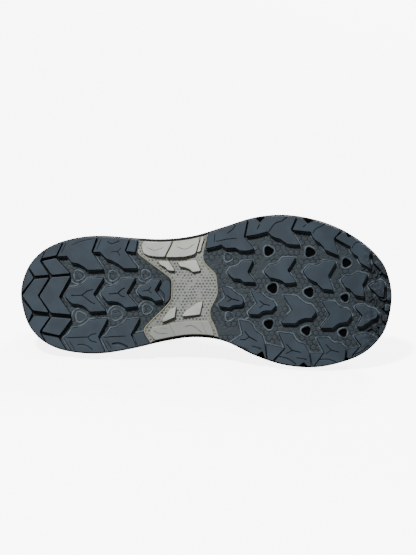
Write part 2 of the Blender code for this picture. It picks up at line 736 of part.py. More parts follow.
def upper_points(table, ribs, rise):
    """Places on the outside of the upper, at ribs counted from the heel and a share of their rise."""
    ribs = np.asarray(ribs, dtype=float)
    rows = closed_curve(table, ribs)
    step = 0.01
    ahead = closed_curve(table, ribs + step)[:, :2] - closed_curve(table, ribs - step)[:, :2]
    outward = np.column_stack((ahead[:, 1], -ahead[:, 0]))
    outward /= np.linalg.norm(outward, axis=1)[:, None]
    arc = rows[:, 6]
    run = (1 - np.cos(arc * rise)) / (1 - np.cos(arc))
    climb = np.sin(arc * rise) / np.sin(arc)
    swell = rows[:, 7] * np.sin(math.pi * np.clip(climb, 0, 1) ** 0.8)
    plan = rows[:, :2] + (rows[:, 3:5] - rows[:, :2]) * run[:, None] + outward * swell[:, None]
    height = rows[:, 2] + (rows[:, 5] - rows[:, 2]) * climb
    return np.column_stack((plan, height))


def upper_normals(table, ribs, rise):
    """Directions square to the outside of the upper."""
    step = 0.004
    ribs = np.asarray(ribs, dtype=float)
    around = upper_points(table, ribs + step, rise) - upper_points(table, ribs - step, rise)
    upward = upper_points(table, ribs, min(rise + step, 1.0)) - upper_points(table, ribs, rise - step)
    normal = np.cross(around, upward)
    return normal / np.linalg.norm(normal, axis=1)[:, None]


def lifted(table, ribs, rise, lift):
    """Places at a distance off the outside of the upper."""
    return upper_points(table, ribs, rise) + upper_normals(table, ribs, rise) * lift


def make_sheet(name, rows, closed, finish, carrier):
    """Make an open sheet from rows of points that climb from the sole."""
    shape = bmesh.new()
    grid = [[shape.verts.new(point) for point in row] for row in rows]
    size = len(grid[0])
    last = size if closed else size - 1
    for low, high in zip(grid, grid[1:]):
        for k in range(last):
            after = (k + 1) % size
            shape.faces.new((low[k], low[after], high[after], high[k]))
    return make_object(name, shape, finish, carrier)


def thicken(sheet, thickness, side):
    """Give a sheet its wall, inwards (-1) or outwards (1)."""
    wall = sheet.modifiers.new("wall", "SOLIDIFY")
    wall.thickness = thickness
    wall.offset = side
    wall.use_even_offset = True
    wall.use_rim = True
    return wall


def collar_share(rib, rise):
    """Share of the collar's extra padding at a place on the upper."""
    from_heel = min(rib, TURN - rib)
    return smooth_step((6.4 - from_heel) / 1.9) * smooth_step((rise - 0.62) / 0.25)


def make_upper(table, carrier):
    """Hollow upper, open at the collar, at the throat and underneath."""
    ribs = np.arange(TURN * RIB_STEPS) / RIB_STEPS
    rises = np.linspace(0, 1, UPPER_LEVELS + 1)
    rows = [upper_points(table, ribs, rise) for rise in rises]
    upper = make_sheet("upper", rows, True, BLACK_MESH, carrier)
    padding = upper.vertex_groups.new(name="padding")
    for level, rise in enumerate(rises):
        for k, rib in enumerate(ribs):
            padding.add([level * len(ribs) + k], collar_share(rib, rise), "REPLACE")
    wall = thicken(upper, COLLAR_WALL, -1)
    wall.vertex_group = padding.name
    wall.thickness_vertex_group = UPPER_WALL / COLLAR_WALL
    return upper


class Overlay(NamedTuple):
    """One overlay on the upper, between two ribs and two shares of their rise."""

    name: str
    first: float
    last: float
    low: float
    high: float
    end: float       # share of the rise that it keeps at its two ends
    levels: int


OVERLAYS = (
    Overlay("toe_cap", TOE_RIB - 3, TOE_RIB + 3, 0.03, 0.40, 0.10, 5),
    Overlay("heel_counter", -4.5, 4.5, 0.03, 0.55, 0.16, 6),
    Overlay("eyestay", 7, TURN - 7, 0.80, 0.985, 0.985, 3),
)


def make_overlay(table, row, carrier):
    """Overlay that follows the outside of the upper."""
    ribs = np.arange(row.first, row.last + 0.5 / RIB_STEPS, 1 / RIB_STEPS)
    middle = (row.first + row.last) / 2
    spread = (row.last - row.first) / 2
    columns = []
    for rib in ribs:
        taper = smooth_step(1.6 * (1 - abs(rib - middle) / spread))
        high = row.end + (row.high - row.end) * taper
        columns.append([lifted(table, [rib], rise, OVERLAY_GAP)[0]
                        for rise in np.linspace(row.low, high, row.levels + 1)])
    rows = [list(level) for level in zip(*columns)]
    sheet = make_sheet(row.name, rows, False, DARK_OVERLAY, carrier)
    thicken(sheet, OVERLAY_THICKNESS, 1)
    return sheet


class TongueEnd(NamedTuple):
    """One section of the tongue's free end."""

    back: float      # share of TONGUE_SETBACK
    up: float        # share of TONGUE_RISE
    width: float     # share of the width at the top eyelets


TONGUE_END = (
    TongueEnd(0.40, 0.22, 0.85),
    TongueEnd(0.74, 0.60, 0.80),
    TongueEnd(1.00, 1.00, 0.72),
)


def tongue_line(table, rib, depth):
    """Points across the tongue under the throat, from the outer to the inner side."""
    rises = (0.82, 0.91, 1.0)
    lateral = [lifted(table, [rib], rise, -depth)[0] for rise in rises]
    medial = [lifted(table, [TURN - rib], rise, -depth)[0] for rise in reversed(rises)]
    start, end = lateral[-1], medial[0]
    middle = []
    for share in (0.25, 0.5, 0.75):
        crown = TONGUE_CROWN * math.sin(math.pi * share)
        middle.append(start + (end - start) * share + np.array((0, 0, crown)))
    return [*lateral, *middle, *medial]


def make_tongue(table, carrier):
    """Padded tongue under the throat, with a free end above the top eyelets."""
    depth = UPPER_WALL + TONGUE_CLEARANCE
    sections = []
    for rib in np.linspace(TONGUE_LAST, TONGUE_FIRST, TONGUE_SECTIONS):
        top = tongue_line(table, rib, depth)
        under = tongue_line(table, rib, depth + TONGUE_THICKNESS)
        sections.append([*top, *under[::-1]])
    end = np.array(sections[-1])
    middle = end.mean(axis=0)
    for row in TONGUE_END:
        slide = np.array((-TONGUE_SETBACK * row.back, 0, TONGUE_RISE * row.up))
        spread = np.array((1, row.width, 1))
        sections.append(list(middle + (end - middle) * spread + slide))
    shape = bmesh.new()
    loft(shape, sections)
    bmesh.ops.recalc_face_normals(shape, faces=shape.faces)
    return make_object("tongue", shape, BLACK_MESH, carrier)


def eyelet_ribs():
    """Ribs that the eyelets of one side lie on, from the top pair to the toe."""
    return np.linspace(EYELET_FIRST, EYELET_LAST, EYELET_PAIRS)


def make_eyelets(table, carrier):
    """Rings round the lace holes of the eyestay."""
    eyelets = []
    floor = OVERLAY_GAP + OVERLAY_THICKNESS + GAP
    for k, rib in enumerate(eyelet_ribs()):
        for side, place in (("lateral", rib), ("medial", TURN - rib)):
            centre = Vector(lifted(table, [place], EYELET_RISE, floor)[0])
            normal = Vector(upper_normals(table, [place], EYELET_RISE)[0])
            turn = Matrix.Translation(centre) @ normal.to_track_quat("Z", "Y").to_matrix().to_4x4()
            shape = bmesh.new()
            sides = 10
            corners = ((EYELET_HOLE, 0), (EYELET_RADIUS, 0), (EYELET_RADIUS, 0.5), (EYELET_HOLE, 1))
            rings = []
            for radius, height in corners:
                angles = [2 * math.pi * n / sides for n in range(sides)]
                rings.append([turn @ Vector((radius * math.cos(a), radius * math.sin(a),
                                             height * EYELET_THICKNESS)) for a in angles])
            rows = [[shape.verts.new(point) for point in ring] for ring in rings]
            for low, high in zip(rows, rows[1:] + rows[:1]):
                for n in range(sides):
                    after = (n + 1) % sides
                    shape.faces.new((low[n], low[after], high[after], high[n]))
            bmesh.ops.recalc_face_normals(shape, faces=shape.faces)
            eyelets.append(make_object(f"eyelet_{side}_{k + 1}", shape, DARK_EYELET, carrier))
    return eyelets


def lace_end(table, rib, other, rise):
    """First two points of a run of lace: over its eyelet, then over the edge of the throat."""
    edge = rib + (TURN - other - rib) * LACE_SLANT
    return [lifted(table, [rib], EYELET_RISE, rise)[0], lifted(table, [edge], 1.0, rise)[0]]


def lace_run(table, start, end, rise):
    """Middle line of one run of lace between two ribs on opposite sides."""
    near = lace_end(table, start, end, rise)
    far = lace_end(table, end, start, rise)
    middle = (near[-1] + far[-1]) / 2 + np.array((0, 0, TONGUE_CROWN))
    return [*near, middle, *far[::-1]]


def add_lace(shape, line):
    """Add a flat run of lace along a line."""
    up = Vector((0.35, 0, 1)).normalized()
    spots = [Vector(point) for point in line]
    spots[0] -= (spots[1] - spots[0]).normalized() * LACE_WIDTH / 2
    spots[-1] += (spots[-1] - spots[-2]).normalized() * LACE_WIDTH / 2
    rings = []
    for k, spot in enumerate(spots):
        along = spots[min(k + 1, len(spots) - 1)] - spots[max(k - 1, 0)]
        across = along.cross(up).normalized()
        over = across.cross(along).normalized()
        half, thin = LACE_WIDTH / 2, LACE_THICKNESS / 2
        profile = ((-half, 0), (-half * 0.8, -thin), (half * 0.8, -thin), (half, 0),
                   (half * 0.8, thin), (-half * 0.8, thin))
        rings.append([spot + across * a + over * b for a, b in profile])
    loft(shape, rings)


def make_laces(table, carrier):
    """Criss-cross lacing, its runs joined where they cross and where they turn."""
    ribs = eyelet_ribs()
    eyelet_top = OVERLAY_GAP + OVERLAY_THICKNESS + GAP + EYELET_THICKNESS
    floor = eyelet_top + LACE_CLEARANCE + LACE_THICKNESS / 2
    forms = []
    for name, flip in (("laces", False), ("lace_cross_form", True)):
        shape = bmesh.new()
        for above, below in zip(ribs, ribs[1:]):
            start, end = (TURN - above, below) if flip else (above, TURN - below)
            add_lace(shape, lace_run(table, start, end, floor + (0.5 * GAP if flip else 0)))
        bmesh.ops.recalc_face_normals(shape, faces=shape.faces)
        forms.append(make_object(name, shape, None if flip else SLATE_CORD, carrier))
    shape = bmesh.new()
    add_lace(shape, lace_run(table, ribs[-1], TURN - ribs[-1], floor + GAP))
    bmesh.ops.recalc_face_normals(shape, faces=shape.faces)
    bar = make_object("lace_bar_form", shape, None, carrier)
    combine(forms[0], forms[1], "UNION")
    combine(forms[0], bar, "UNION")
    return forms[0]


def lay_down(pieces, carrier):
    """Lay the shoe on its inner side, on the side of its hull that its balance point is over."""
    bpy.context.view_layer.update()
    graph = bpy.context.evaluated_depsgraph_get()
    places = []
    for piece in pieces:
        mesh = piece.evaluated_get(graph).data
        places += [vertex.co.copy() for vertex in mesh.vertices]
    hull = bmesh.new()
    for place in places:
        hull.verts.new(place)
    bmesh.ops.convex_hull(hull, input=hull.verts[:])
    hull.normal_update()
    balance = Vector((BALANCE_ALONG * SOLE_LENGTH, 0, BALANCE_HEIGHT * HEEL_HEIGHT))
    down = Vector((0, 1, 0))
    for face in hull.faces:
        normal = face.normal.copy()
        reach = (face.verts[0].co - balance).dot(normal)
        if reach < 0:
            normal, reach = -normal, -reach
        if normal.y < 0.8 or len(face.verts) != 3:
            continue
        corners = [vertex.co for vertex in face.verts]
        if intersect_point_tri(balance + normal * reach, *corners):
            down = normal
    hull.free()
    ahead = (Vector((1, 0, 0)) - down * down.x).normalized()
    aside = (-down).cross(ahead)
    turn = Matrix((ahead, aside, -down))
    laid = np.array([turn @ place for place in places])
    low, high = laid.min(axis=0), laid.max(axis=0)
    shift = Matrix.Translation((-(low[0] + high[0]) / 2, -(low[1] + high[1]) / 2, -low[2]))
    carrier.matrix_world = shift @ turn.to_4x4()


def main():
    """Build the shoe and lay it down."""
    for item in list(bpy.data.objects):
        bpy.data.objects.remove(item)
    carrier = bpy.data.objects.new("shoe_carrier", None)
    bpy.context.collection.objects.link(carrier)
    table = rib_table()
    pieces = make_outsole(carrier)
    pieces.append(make_midsole(carrier))
    pieces.append(make_insole(carrier))
    pieces.append(make_upper(table, carrier))
    pieces += [make_overlay(table, row, carrier) for row in OVERLAYS]
    pieces.append(make_tongue(table, carrier))
    pieces += make_eyelets(table, carrier)
    pieces.append(make_laces(table, carrier))
    lay_down(pieces, carrier)


main()
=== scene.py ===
"""Looks of a right trail running shoe that lies on its inner side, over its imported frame.

The treaded sole faces the camera. Sizes are in metres, and the tread's own map is in
millimetres: x from the heel to the toe, y from the outer side (-) to the inner side (+).
"""

import json
import logging
import math
from dataclasses import dataclass, field
from enum import Enum
from functools import lru_cache
from typing import Callable, NamedTuple, Sequence

import bmesh
import bpy
import numpy as np
from bmesh.types import BMesh
from bpy.types import Material, Object
from bpy.types import NodeSocket as Socket
from mathutils import Matrix, Vector

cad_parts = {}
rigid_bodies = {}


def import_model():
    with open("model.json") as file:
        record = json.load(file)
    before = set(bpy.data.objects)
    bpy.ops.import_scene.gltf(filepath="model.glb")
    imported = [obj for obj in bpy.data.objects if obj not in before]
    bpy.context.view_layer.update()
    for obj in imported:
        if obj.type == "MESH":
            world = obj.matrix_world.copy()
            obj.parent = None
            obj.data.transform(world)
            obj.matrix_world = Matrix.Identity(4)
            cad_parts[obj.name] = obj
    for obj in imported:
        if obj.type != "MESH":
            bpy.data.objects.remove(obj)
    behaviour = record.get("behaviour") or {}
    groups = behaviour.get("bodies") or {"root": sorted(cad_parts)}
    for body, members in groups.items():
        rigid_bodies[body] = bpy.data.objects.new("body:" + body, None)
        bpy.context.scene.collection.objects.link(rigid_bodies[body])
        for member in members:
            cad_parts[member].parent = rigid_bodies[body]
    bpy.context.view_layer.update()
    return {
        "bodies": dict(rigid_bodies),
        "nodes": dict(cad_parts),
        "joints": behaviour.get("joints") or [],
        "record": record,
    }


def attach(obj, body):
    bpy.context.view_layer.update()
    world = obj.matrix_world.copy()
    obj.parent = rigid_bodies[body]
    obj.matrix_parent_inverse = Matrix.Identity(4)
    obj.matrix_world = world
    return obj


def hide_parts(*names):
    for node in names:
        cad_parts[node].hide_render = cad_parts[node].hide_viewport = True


LOG = logging.getLogger("trail_shoe")
MM = 0.001
PLACE = "place"
SLOPE = "slope"
BODY = "root"

Point = tuple[float, float]
Colour = tuple[float, float, float]


class Side(Enum):
    """Side of the shoe, as the sign of y."""

    LATERAL = -1
    MEDIAL = 1


class Rim(NamedTuple):
    """Stretch of a tread outline along the rim on the side of the point before it, in millimetres."""

    start: float
    end: float


class Station(NamedTuple):
    """Half widths of the sole, in shares of its ball width, at a share of its length."""

    along: float
    lateral: float
    medial: float


OUTLINE = (
    Station(0.016, 0.169, 0.166), Station(0.049, 0.274, 0.277), Station(0.097, 0.344, 0.346),
    Station(0.161, 0.385, 0.378), Station(0.225, 0.394, 0.379), Station(0.304, 0.380, 0.347),
    Station(0.385, 0.372, 0.301), Station(0.465, 0.394, 0.274), Station(0.545, 0.452, 0.298),
    Station(0.626, 0.513, 0.390), Station(0.706, 0.532, 0.455), Station(0.787, 0.503, 0.472),
    Station(0.857, 0.443, 0.443), Station(0.916, 0.358, 0.389), Station(0.958, 0.268, 0.306),
    Station(0.986, 0.163, 0.196),
)


def closed_curve(points: Sequence, places: Sequence[float]) -> np.ndarray:
    """Read a smooth closed curve through a ring of points.

    Args:
        points: The points of the ring, each with any number of values.
        places: Where to read, counted in points.

    Returns:
        One row of values for each place.
    """
    ring = np.asarray(points, dtype=float)
    spots = np.asarray(places, dtype=float)
    first = np.floor(spots).astype(int)
    part = (spots - first)[:, None]
    before, start, end, after = (ring[(first + step) % len(ring)] for step in (-1, 0, 1, 2))
    slope = end - before
    bend = 2 * before - 5 * start + 4 * end - after
    twist = 3 * start - before - 3 * end + after
    return 0.5 * (2 * start + slope * part + bend * part ** 2 + twist * part ** 3)


def open_curve(points: Sequence, steps: int) -> list[Vector]:
    """Read a smooth open curve through points.

    Args:
        points: The points that it passes through.
        steps: Number of steps between two points.

    Returns:
        Points along the curve, both ends included.
    """
    line = [Vector(point) for point in points]
    line = [2 * line[0] - line[1], *line, 2 * line[-1] - line[-2]]
    count = len(line) - 3
    places = np.linspace(1, 1 + count, count * steps + 1)
    places[-1] -= 1e-9
    return [Vector(point) for point in closed_curve(line, places)]


def travelled(points: np.ndarray) -> np.ndarray:
    """Distance from the first point of a line to each of its points."""
    steps = np.linalg.norm(np.diff(points, axis=0), axis=1)
    return np.concatenate(((0,), np.cumsum(steps)))


def heading(line: Sequence[Vector], k: int) -> Vector:
    """Way from the point before a point of a line to the point after it."""
    return line[min(k + 1, len(line) - 1)] - line[max(k - 1, 0)]


def polar(middle: Point, angles: np.ndarray, radii: np.ndarray) -> list[Point]:
    """Points round a middle, at angles and distances from it."""
    return [(float(middle[0] + r * math.cos(a)), float(middle[1] + r * math.sin(a)))
            for a, r in zip(angles, radii)]


def smooth_step(value: float) -> float:
    """Ease a value from 0 to 1."""
    value = min(max(value, 0.0), 1.0)
    return value * value * (3 - 2 * value)


@dataclass(frozen=True)
class SolePlan:
    """Outline and heights of the sole, in the standing shoe."""

    length: float = 286 * MM
    ball_width: float = 117 * MM
    outsole_inset: float = 1.0 * MM
    plate_inset: float = 2.1 * MM
    feather_inset: float = 7.6 * MM
    lug_height: float = 4.5 * MM
    web: float = 2.2 * MM
    gap: float = 0.3 * MM
    heel_deck: float = 27.5 * MM
    forefoot_deck: float = 19 * MM
    toe_spring: float = 13 * MM
    heel_bevel: float = 3 * MM
    arch_rise: float = 2.5 * MM
    lip: float = 4 * MM
    heel_flat: float = 0.09
    toe_flat: float = 0.705
    arch_start: float = 0.33
    arch_end: float = 0.52
    drop_start: float = 0.25
    drop_end: float = 0.68
    deck_spring: float = 0.85
    heel_tip: float = -0.013
    toe_tip: float = 0.006

    def front(self, x: float) -> float:
        """Share of the way through the toe spring."""
        return max(0.0, x / self.length - self.toe_flat) / (1 - self.toe_flat)

    def tread(self, x: float) -> float:
        """Height of the lugs' ground faces."""
        rear = max(0.0, self.heel_flat - x / self.length) / self.heel_flat
        return self.heel_bevel * rear ** 2 + self.toe_spring * self.front(x) ** 1.8

    def base(self, x: float) -> float:
        """Height of the web between the lugs."""
        arch = (x / self.length - self.arch_start) / (self.arch_end - self.arch_start)
        lift = math.sin(math.pi * min(max(arch, 0.0), 1.0)) ** 2
        return self.tread(x) + self.lug_height + self.arch_rise * lift

    def floor(self, x: float) -> float:
        """Height of the underside of the midsole."""
        return self.base(x) + self.web + self.gap

    def deck(self, x: float) -> float:
        """Height of the top of the midsole."""
        drop = smooth_step((x / self.length - self.drop_start) / (self.drop_end - self.drop_start))
        level = self.heel_deck + (self.forefoot_deck - self.heel_deck) * drop
        return level + self.toe_spring * self.deck_spring * self.front(x) ** 1.8

    def loop(self, inset: float, count: int = 720) -> np.ndarray:
        """Outline of the sole, moved in by an inset.

        Args:
            inset: How far inside the sole's edge it runs.
            count: Number of points.

        Returns:
            Rows of x and y, from the heel by the outer side.
        """
        size, width = self.length, self.ball_width
        lateral = [(row.along * size, -row.lateral * width) for row in OUTLINE]
        medial = [(row.along * size, row.medial * width) for row in reversed(OUTLINE)]
        points = [(0.0, self.heel_tip * width), *lateral, (size, self.toe_tip * width), *medial]
        loop = closed_curve(points, np.linspace(0, len(points), count, endpoint=False))
        along = np.roll(loop, -1, axis=0) - np.roll(loop, 1, axis=0)
        along /= np.linalg.norm(along, axis=1)[:, None]
        return loop - np.column_stack((along[:, 1], -along[:, 0])) * inset

    @lru_cache(maxsize=None)
    def sides(self, inset: float) -> tuple[np.ndarray, np.ndarray]:
        """Outer and inner side of an inset outline, each from heel to toe."""
        loop = self.loop(inset)
        loop = np.roll(loop, -int(np.argmin(loop[:, 0])), axis=0)
        toe = int(np.argmax(loop[:, 0]))
        return loop[:toe + 1], np.vstack((loop[:1], loop[toe:][::-1]))

    def edge(self, x: float, side: Side, inset: float) -> float:
        """Place across the shoe of an inset outline at x."""
        line = self.sides(inset)[0 if side is Side.LATERAL else 1]
        return float(np.interp(x, line[:, 0], line[:, 1]))

    def settle(self, point: Vector) -> Vector:
        """Move a point of the flat tread, whose z is its depth, to its place on the sole."""
        x, y, depth = point
        foot, web = self.tread(x), self.base(x)
        share = min(depth / self.lug_height, 1.0)
        beyond = max(depth - self.lug_height, 0.0)
        return Vector((x, y, foot + (web - foot) * share + beyond))


PLAN = SolePlan()


def toned(colour: Sequence[float], share: float) -> tuple[float, ...]:
    """A share of a colour's brightness."""
    return tuple(share * part for part in colour)


class Surface:
    """Node tree of one finish while it is being wired."""

    def __init__(self, name: str) -> None:
        """Start a Principled material."""
        self.material = bpy.data.materials.new(name)
        self.material.use_nodes = True
        self.tree = self.material.node_tree
        self.shader = self.tree.nodes["Principled BSDF"]

    def node(self, kind: str, **settings: object) -> bpy.types.Node:
        """Add a node and set its properties.

        Args:
            kind: Type name of the node, without its family's name.
            **settings: Properties of the node.

        Returns:
            The node.
        """
        node = self.tree.nodes.new("ShaderNode" + kind)
        for key, value in settings.items():
            setattr(node, key, value)
        return node

    def wire(self, socket: Socket, value: object) -> None:
        """Link a socket to an output, or set its value."""
        if isinstance(value, Socket):
            self.tree.links.new(value, socket)
        else:
            socket.default_value = value

    def place(self) -> Socket:
        """Place on the standing shoe, kept on each piece as an attribute."""
        return self.node("Attribute", attribute_name=PLACE).outputs["Vector"]

    def weave(self) -> Socket:
        """The piece's own UV map, in metres along and across."""
        return self.node("UVMap", uv_map="weave").outputs["UV"]

    def slope(self) -> Socket:
        """How steep the flat shape is: 0 on level faces, 1 on upright walls."""
        return self.node("Attribute", attribute_name=SLOPE).outputs["Fac"]

    def part(self, vector: Socket, axis: str) -> Socket:
        """One part of a vector."""
        node = self.node("SeparateXYZ")
        self.wire(node.inputs[0], vector)
        return node.outputs[axis]

    def math(self, operation: str, first: object, second: object = 0.0) -> Socket:
        """Work out a number.

        Args:
            operation: Name of the operation.
            first: First value or socket.
            second: Second value or socket.

        Returns:
            The result's socket.
        """
        node = self.node("Math", operation=operation)
        self.wire(node.inputs[0], first)
        self.wire(node.inputs[1], second)
        return node.outputs[0]

    def times(self, first: object, second: object) -> Socket:
        """Multiply two numbers."""
        return self.math("MULTIPLY", first, second)

    def rest(self, value: object) -> Socket:
        """What a number leaves of 1."""
        return self.math("SUBTRACT", 1.0, value)

    def vector(self, operation: str, first: object, second: object = (0, 0, 0),
               third: object = (0, 0, 0), out: int = 0) -> Socket:
        """Work out a vector, or a number from vectors.

        Args:
            operation: Name of the operation.
            first: First value or socket.
            second: Second value or socket.
            third: Third value or socket.
            out: Number of the output that is read.

        Returns:
            The result's socket.
        """
        node = self.node("VectorMath", operation=operation)
        for socket, value in zip(node.inputs, (first, second, third)):
            self.wire(socket, value)
        return node.outputs[out]

    def ease(self, value: Socket, low: float, high: float) -> Socket:
        """Ease a number from 0 at one value to 1 at another."""
        node = self.node("MapRange", interpolation_type="SMOOTHSTEP")
        for key, setting in (("Value", value), ("From Min", low), ("From Max", high)):
            self.wire(node.inputs[key], setting)
        return node.outputs["Result"]

    def noise(self, vector: Socket, pitch: float, detail: float = 2.0) -> Socket:
        """Noise whose waves are about a pitch apart."""
        node = self.node("TexNoise")
        self.wire(node.inputs["Vector"], vector)
        self.wire(node.inputs["Scale"], 1 / pitch)
        self.wire(node.inputs["Detail"], detail)
        return node.outputs[0]

    def drift(self, vector: Socket, pitch: float, reach: float) -> Socket:
        """Move a vector a little this way and that, so that a pattern isn't dead straight."""
        node = self.node("TexNoise")
        self.wire(node.inputs["Vector"], vector)
        self.wire(node.inputs["Scale"], 1 / pitch)
        shift = self.vector("SUBTRACT", node.outputs[1], (0.5, 0.5, 0.5))
        shift = self.vector("MULTIPLY", shift, (reach, reach, reach))
        return self.vector("ADD", vector, shift)

    def honeycomb(self, vector: Socket, pitch: float) -> tuple[Socket, Socket]:
        """Cells of a honeycomb on the x and y of a vector.

        Args:
            vector: Where on the skin.
            pitch: Distance between two cells.

        Returns:
            Distance from the cell's centre, and from its edge, both counted in pitches.
        """
        root = math.sqrt(3)
        half = (0.5, root / 2, 1.0)
        flat = self.vector("MULTIPLY", vector, (1 / pitch, 1 / pitch, 0))
        low = tuple(-value for value in half)
        first = self.vector("WRAP", flat, half, low)
        moved = self.vector("ADD", flat, (half[0], half[1], 0))
        second = self.vector("WRAP", moved, half, low)
        nearer = self.math("LESS_THAN", self.vector("LENGTH", first, out=1),
                           self.vector("LENGTH", second, out=1))
        pick = self.node("Mix", data_type="VECTOR")
        self.wire(pick.inputs[0], nearer)
        self.wire(pick.inputs[4], second)
        self.wire(pick.inputs[5], first)
        cell = self.vector("ABSOLUTE", pick.outputs[1])
        slant = self.vector("DOT_PRODUCT", cell, (0.5, root / 2, 0), out=1)
        reach = self.math("MAXIMUM", self.part(cell, "X"), slant)
        centre = self.vector("LENGTH", cell, out=1)
        return centre, self.math("SUBTRACT", 0.5, reach)

    def blend(self, share: object, first: object, second: object) -> Socket:
        """Mix two colours.

        Args:
            share: Share of the second colour.
            first: First colour or socket.
            second: Second colour or socket.

        Returns:
            The mixed colour's socket.
        """
        node = self.node("Mix", data_type="RGBA")
        self.wire(node.inputs[0], share)
        for socket, colour in ((node.inputs[6], first), (node.inputs[7], second)):
            self.wire(socket, colour if isinstance(colour, Socket) else (*colour, 1))
        return node.outputs[2]

    def bump(self, height: Socket, depth: float, under: Socket | None = None) -> Socket:
        """Raise the surface by a height from 0 to 1.

        Args:
            height: The height's socket.
            depth: Height in metres that 1 stands for.
            under: Normal of a coarser bump below it.

        Returns:
            The normal's socket.
        """
        node = self.node("Bump")
        self.wire(node.inputs["Height"], height)
        self.wire(node.inputs["Strength"], 1.0)
        self.wire(node.inputs["Distance"], depth)
        if under is not None:
            self.wire(node.inputs["Normal"], under)
        return node.outputs[0]

    def finish(self, colour: object, roughness: object, normal: Socket | None = None,
               **fixed: float) -> Material:
        """Wire the shader.

        Args:
            colour: Base colour or its socket.
            roughness: Roughness or its socket.
            normal: Normal's socket.
            **fixed: Other inputs of the shader, with spaces as underscores.

        Returns:
            The finished material.
        """
        plain = colour if isinstance(colour, Socket) else (*colour, 1)
        self.wire(self.shader.inputs["Base Color"], plain)
        self.wire(self.shader.inputs["Roughness"], roughness)
        if normal is not None:
            self.wire(self.shader.inputs["Normal"], normal)
        for key, value in fixed.items():
            self.shader.inputs[key.replace("_", " ")].default_value = value
        return self.material


@dataclass(frozen=True)
class RubberFinish:
    """Matte slate rubber, with fine engraved honeycomb lines on the web between the lugs, and painted
    shade and highlights.
    """

    name: str = "slate_rubber"
    colour: Colour = (0.0108, 0.0176, 0.0250)
    # Painted shade: the web between the lugs is darker than the lug faces.
    web: Colour = (0.0088, 0.0136, 0.0172)
    # Painted shade, on steep walls, in the engraved honeycomb lines and in the hollows of the toe.
    wall: Colour = (0.0012, 0.0016, 0.0022)
    # Painted highlight, on the bevels round the lug faces and on the tops of the low steps and raised
    # rings.
    edge: Colour = (0.0400, 0.0530, 0.0640)
    roughness: float = 0.62
    cell: float = 4.2 * MM
    grain: float = 0.7 * MM
    toe: float = 258 * MM

    def build(self) -> Material:
        """Wire the rubber."""
        skin = Surface(self.name)
        place = skin.place()
        depth, height = skin.part(place, "Z"), PLAN.lug_height
        web = skin.ease(depth, height - 0.5 * MM, height - 0.1 * MM)
        step = skin.times(skin.ease(depth, height - 0.70 * MM, height - 0.60 * MM),
                             skin.rest(skin.ease(depth, height - 0.30 * MM,
                                                       height - 0.20 * MM)))
        edge = skin.honeycomb(skin.drift(place, 7 * MM, 3.2 * MM), self.cell)[1]
        line = skin.rest(skin.ease(edge, 0.03, 0.14))
        faint = skin.ease(skin.noise(place, 10 * MM), 0.34, 0.54)
        line = skin.times(line, skin.times(web, faint))
        patch = skin.ease(skin.noise(place, 14 * MM), 0.35, 0.65)
        colour = skin.blend(patch, self.colour, toned(self.colour, 0.74))
        # Painted highlight on the bevels round the lug faces.
        bevel_highlight = skin.times(skin.ease(skin.slope(), 0.02, 0.05),
                             skin.rest(skin.ease(depth, 0.12 * MM, 0.20 * MM)))
        colour = skin.blend(skin.times(bevel_highlight, 0.5), colour, self.edge)
        # Painted shade: the web gets a darker colour than the lug faces.
        colour = skin.blend(web, colour, self.web)
        # Painted highlight, in uneven patches, on the tops of the low steps round the lugs and of the
        # raised rings.
        highlight_patches = skin.ease(skin.noise(place, 6 * MM, 3), 0.30, 0.62)
        colour = skin.blend(skin.times(step, highlight_patches), colour, self.edge)
        # Painted shade in the engraved honeycomb lines on the web; the bump below sinks them too.
        colour = skin.blend(skin.times(line, 0.6), colour, self.wall)
        # Painted shade on steep faces: lug walls, groove sides and the flanks of the raised rings.
        wall = skin.ease(skin.slope(), 0.30, 0.55)
        colour = skin.blend(skin.times(wall, 0.9), colour, self.wall)
        toe = skin.ease(skin.part(place, "X"), self.toe, self.toe + 12 * MM)
        lump = skin.noise(place, 5 * MM, 2)
        shade = skin.times(toe, skin.ease(lump, 0.40, 0.55))
        colour = skin.blend(skin.times(shade, 0.45), colour, self.wall)
        normal = skin.bump(skin.rest(line), 0.25 * MM)
        normal = skin.bump(skin.times(lump, toe), 1.5 * MM, normal)
        rough = skin.times(skin.noise(place, 1.6 * MM, 3), web)
        normal = skin.bump(rough, 0.20 * MM, normal)
        normal = skin.bump(skin.noise(place, self.grain, 3), 0.035 * MM, normal)
        worn = skin.times(skin.noise(place, 1.3 * MM, 3), 0.12)
        rough = skin.math("ADD", self.roughness - 0.06, worn)
        return skin.finish(colour, rough, normal, Specular_IOR_Level=0.2)


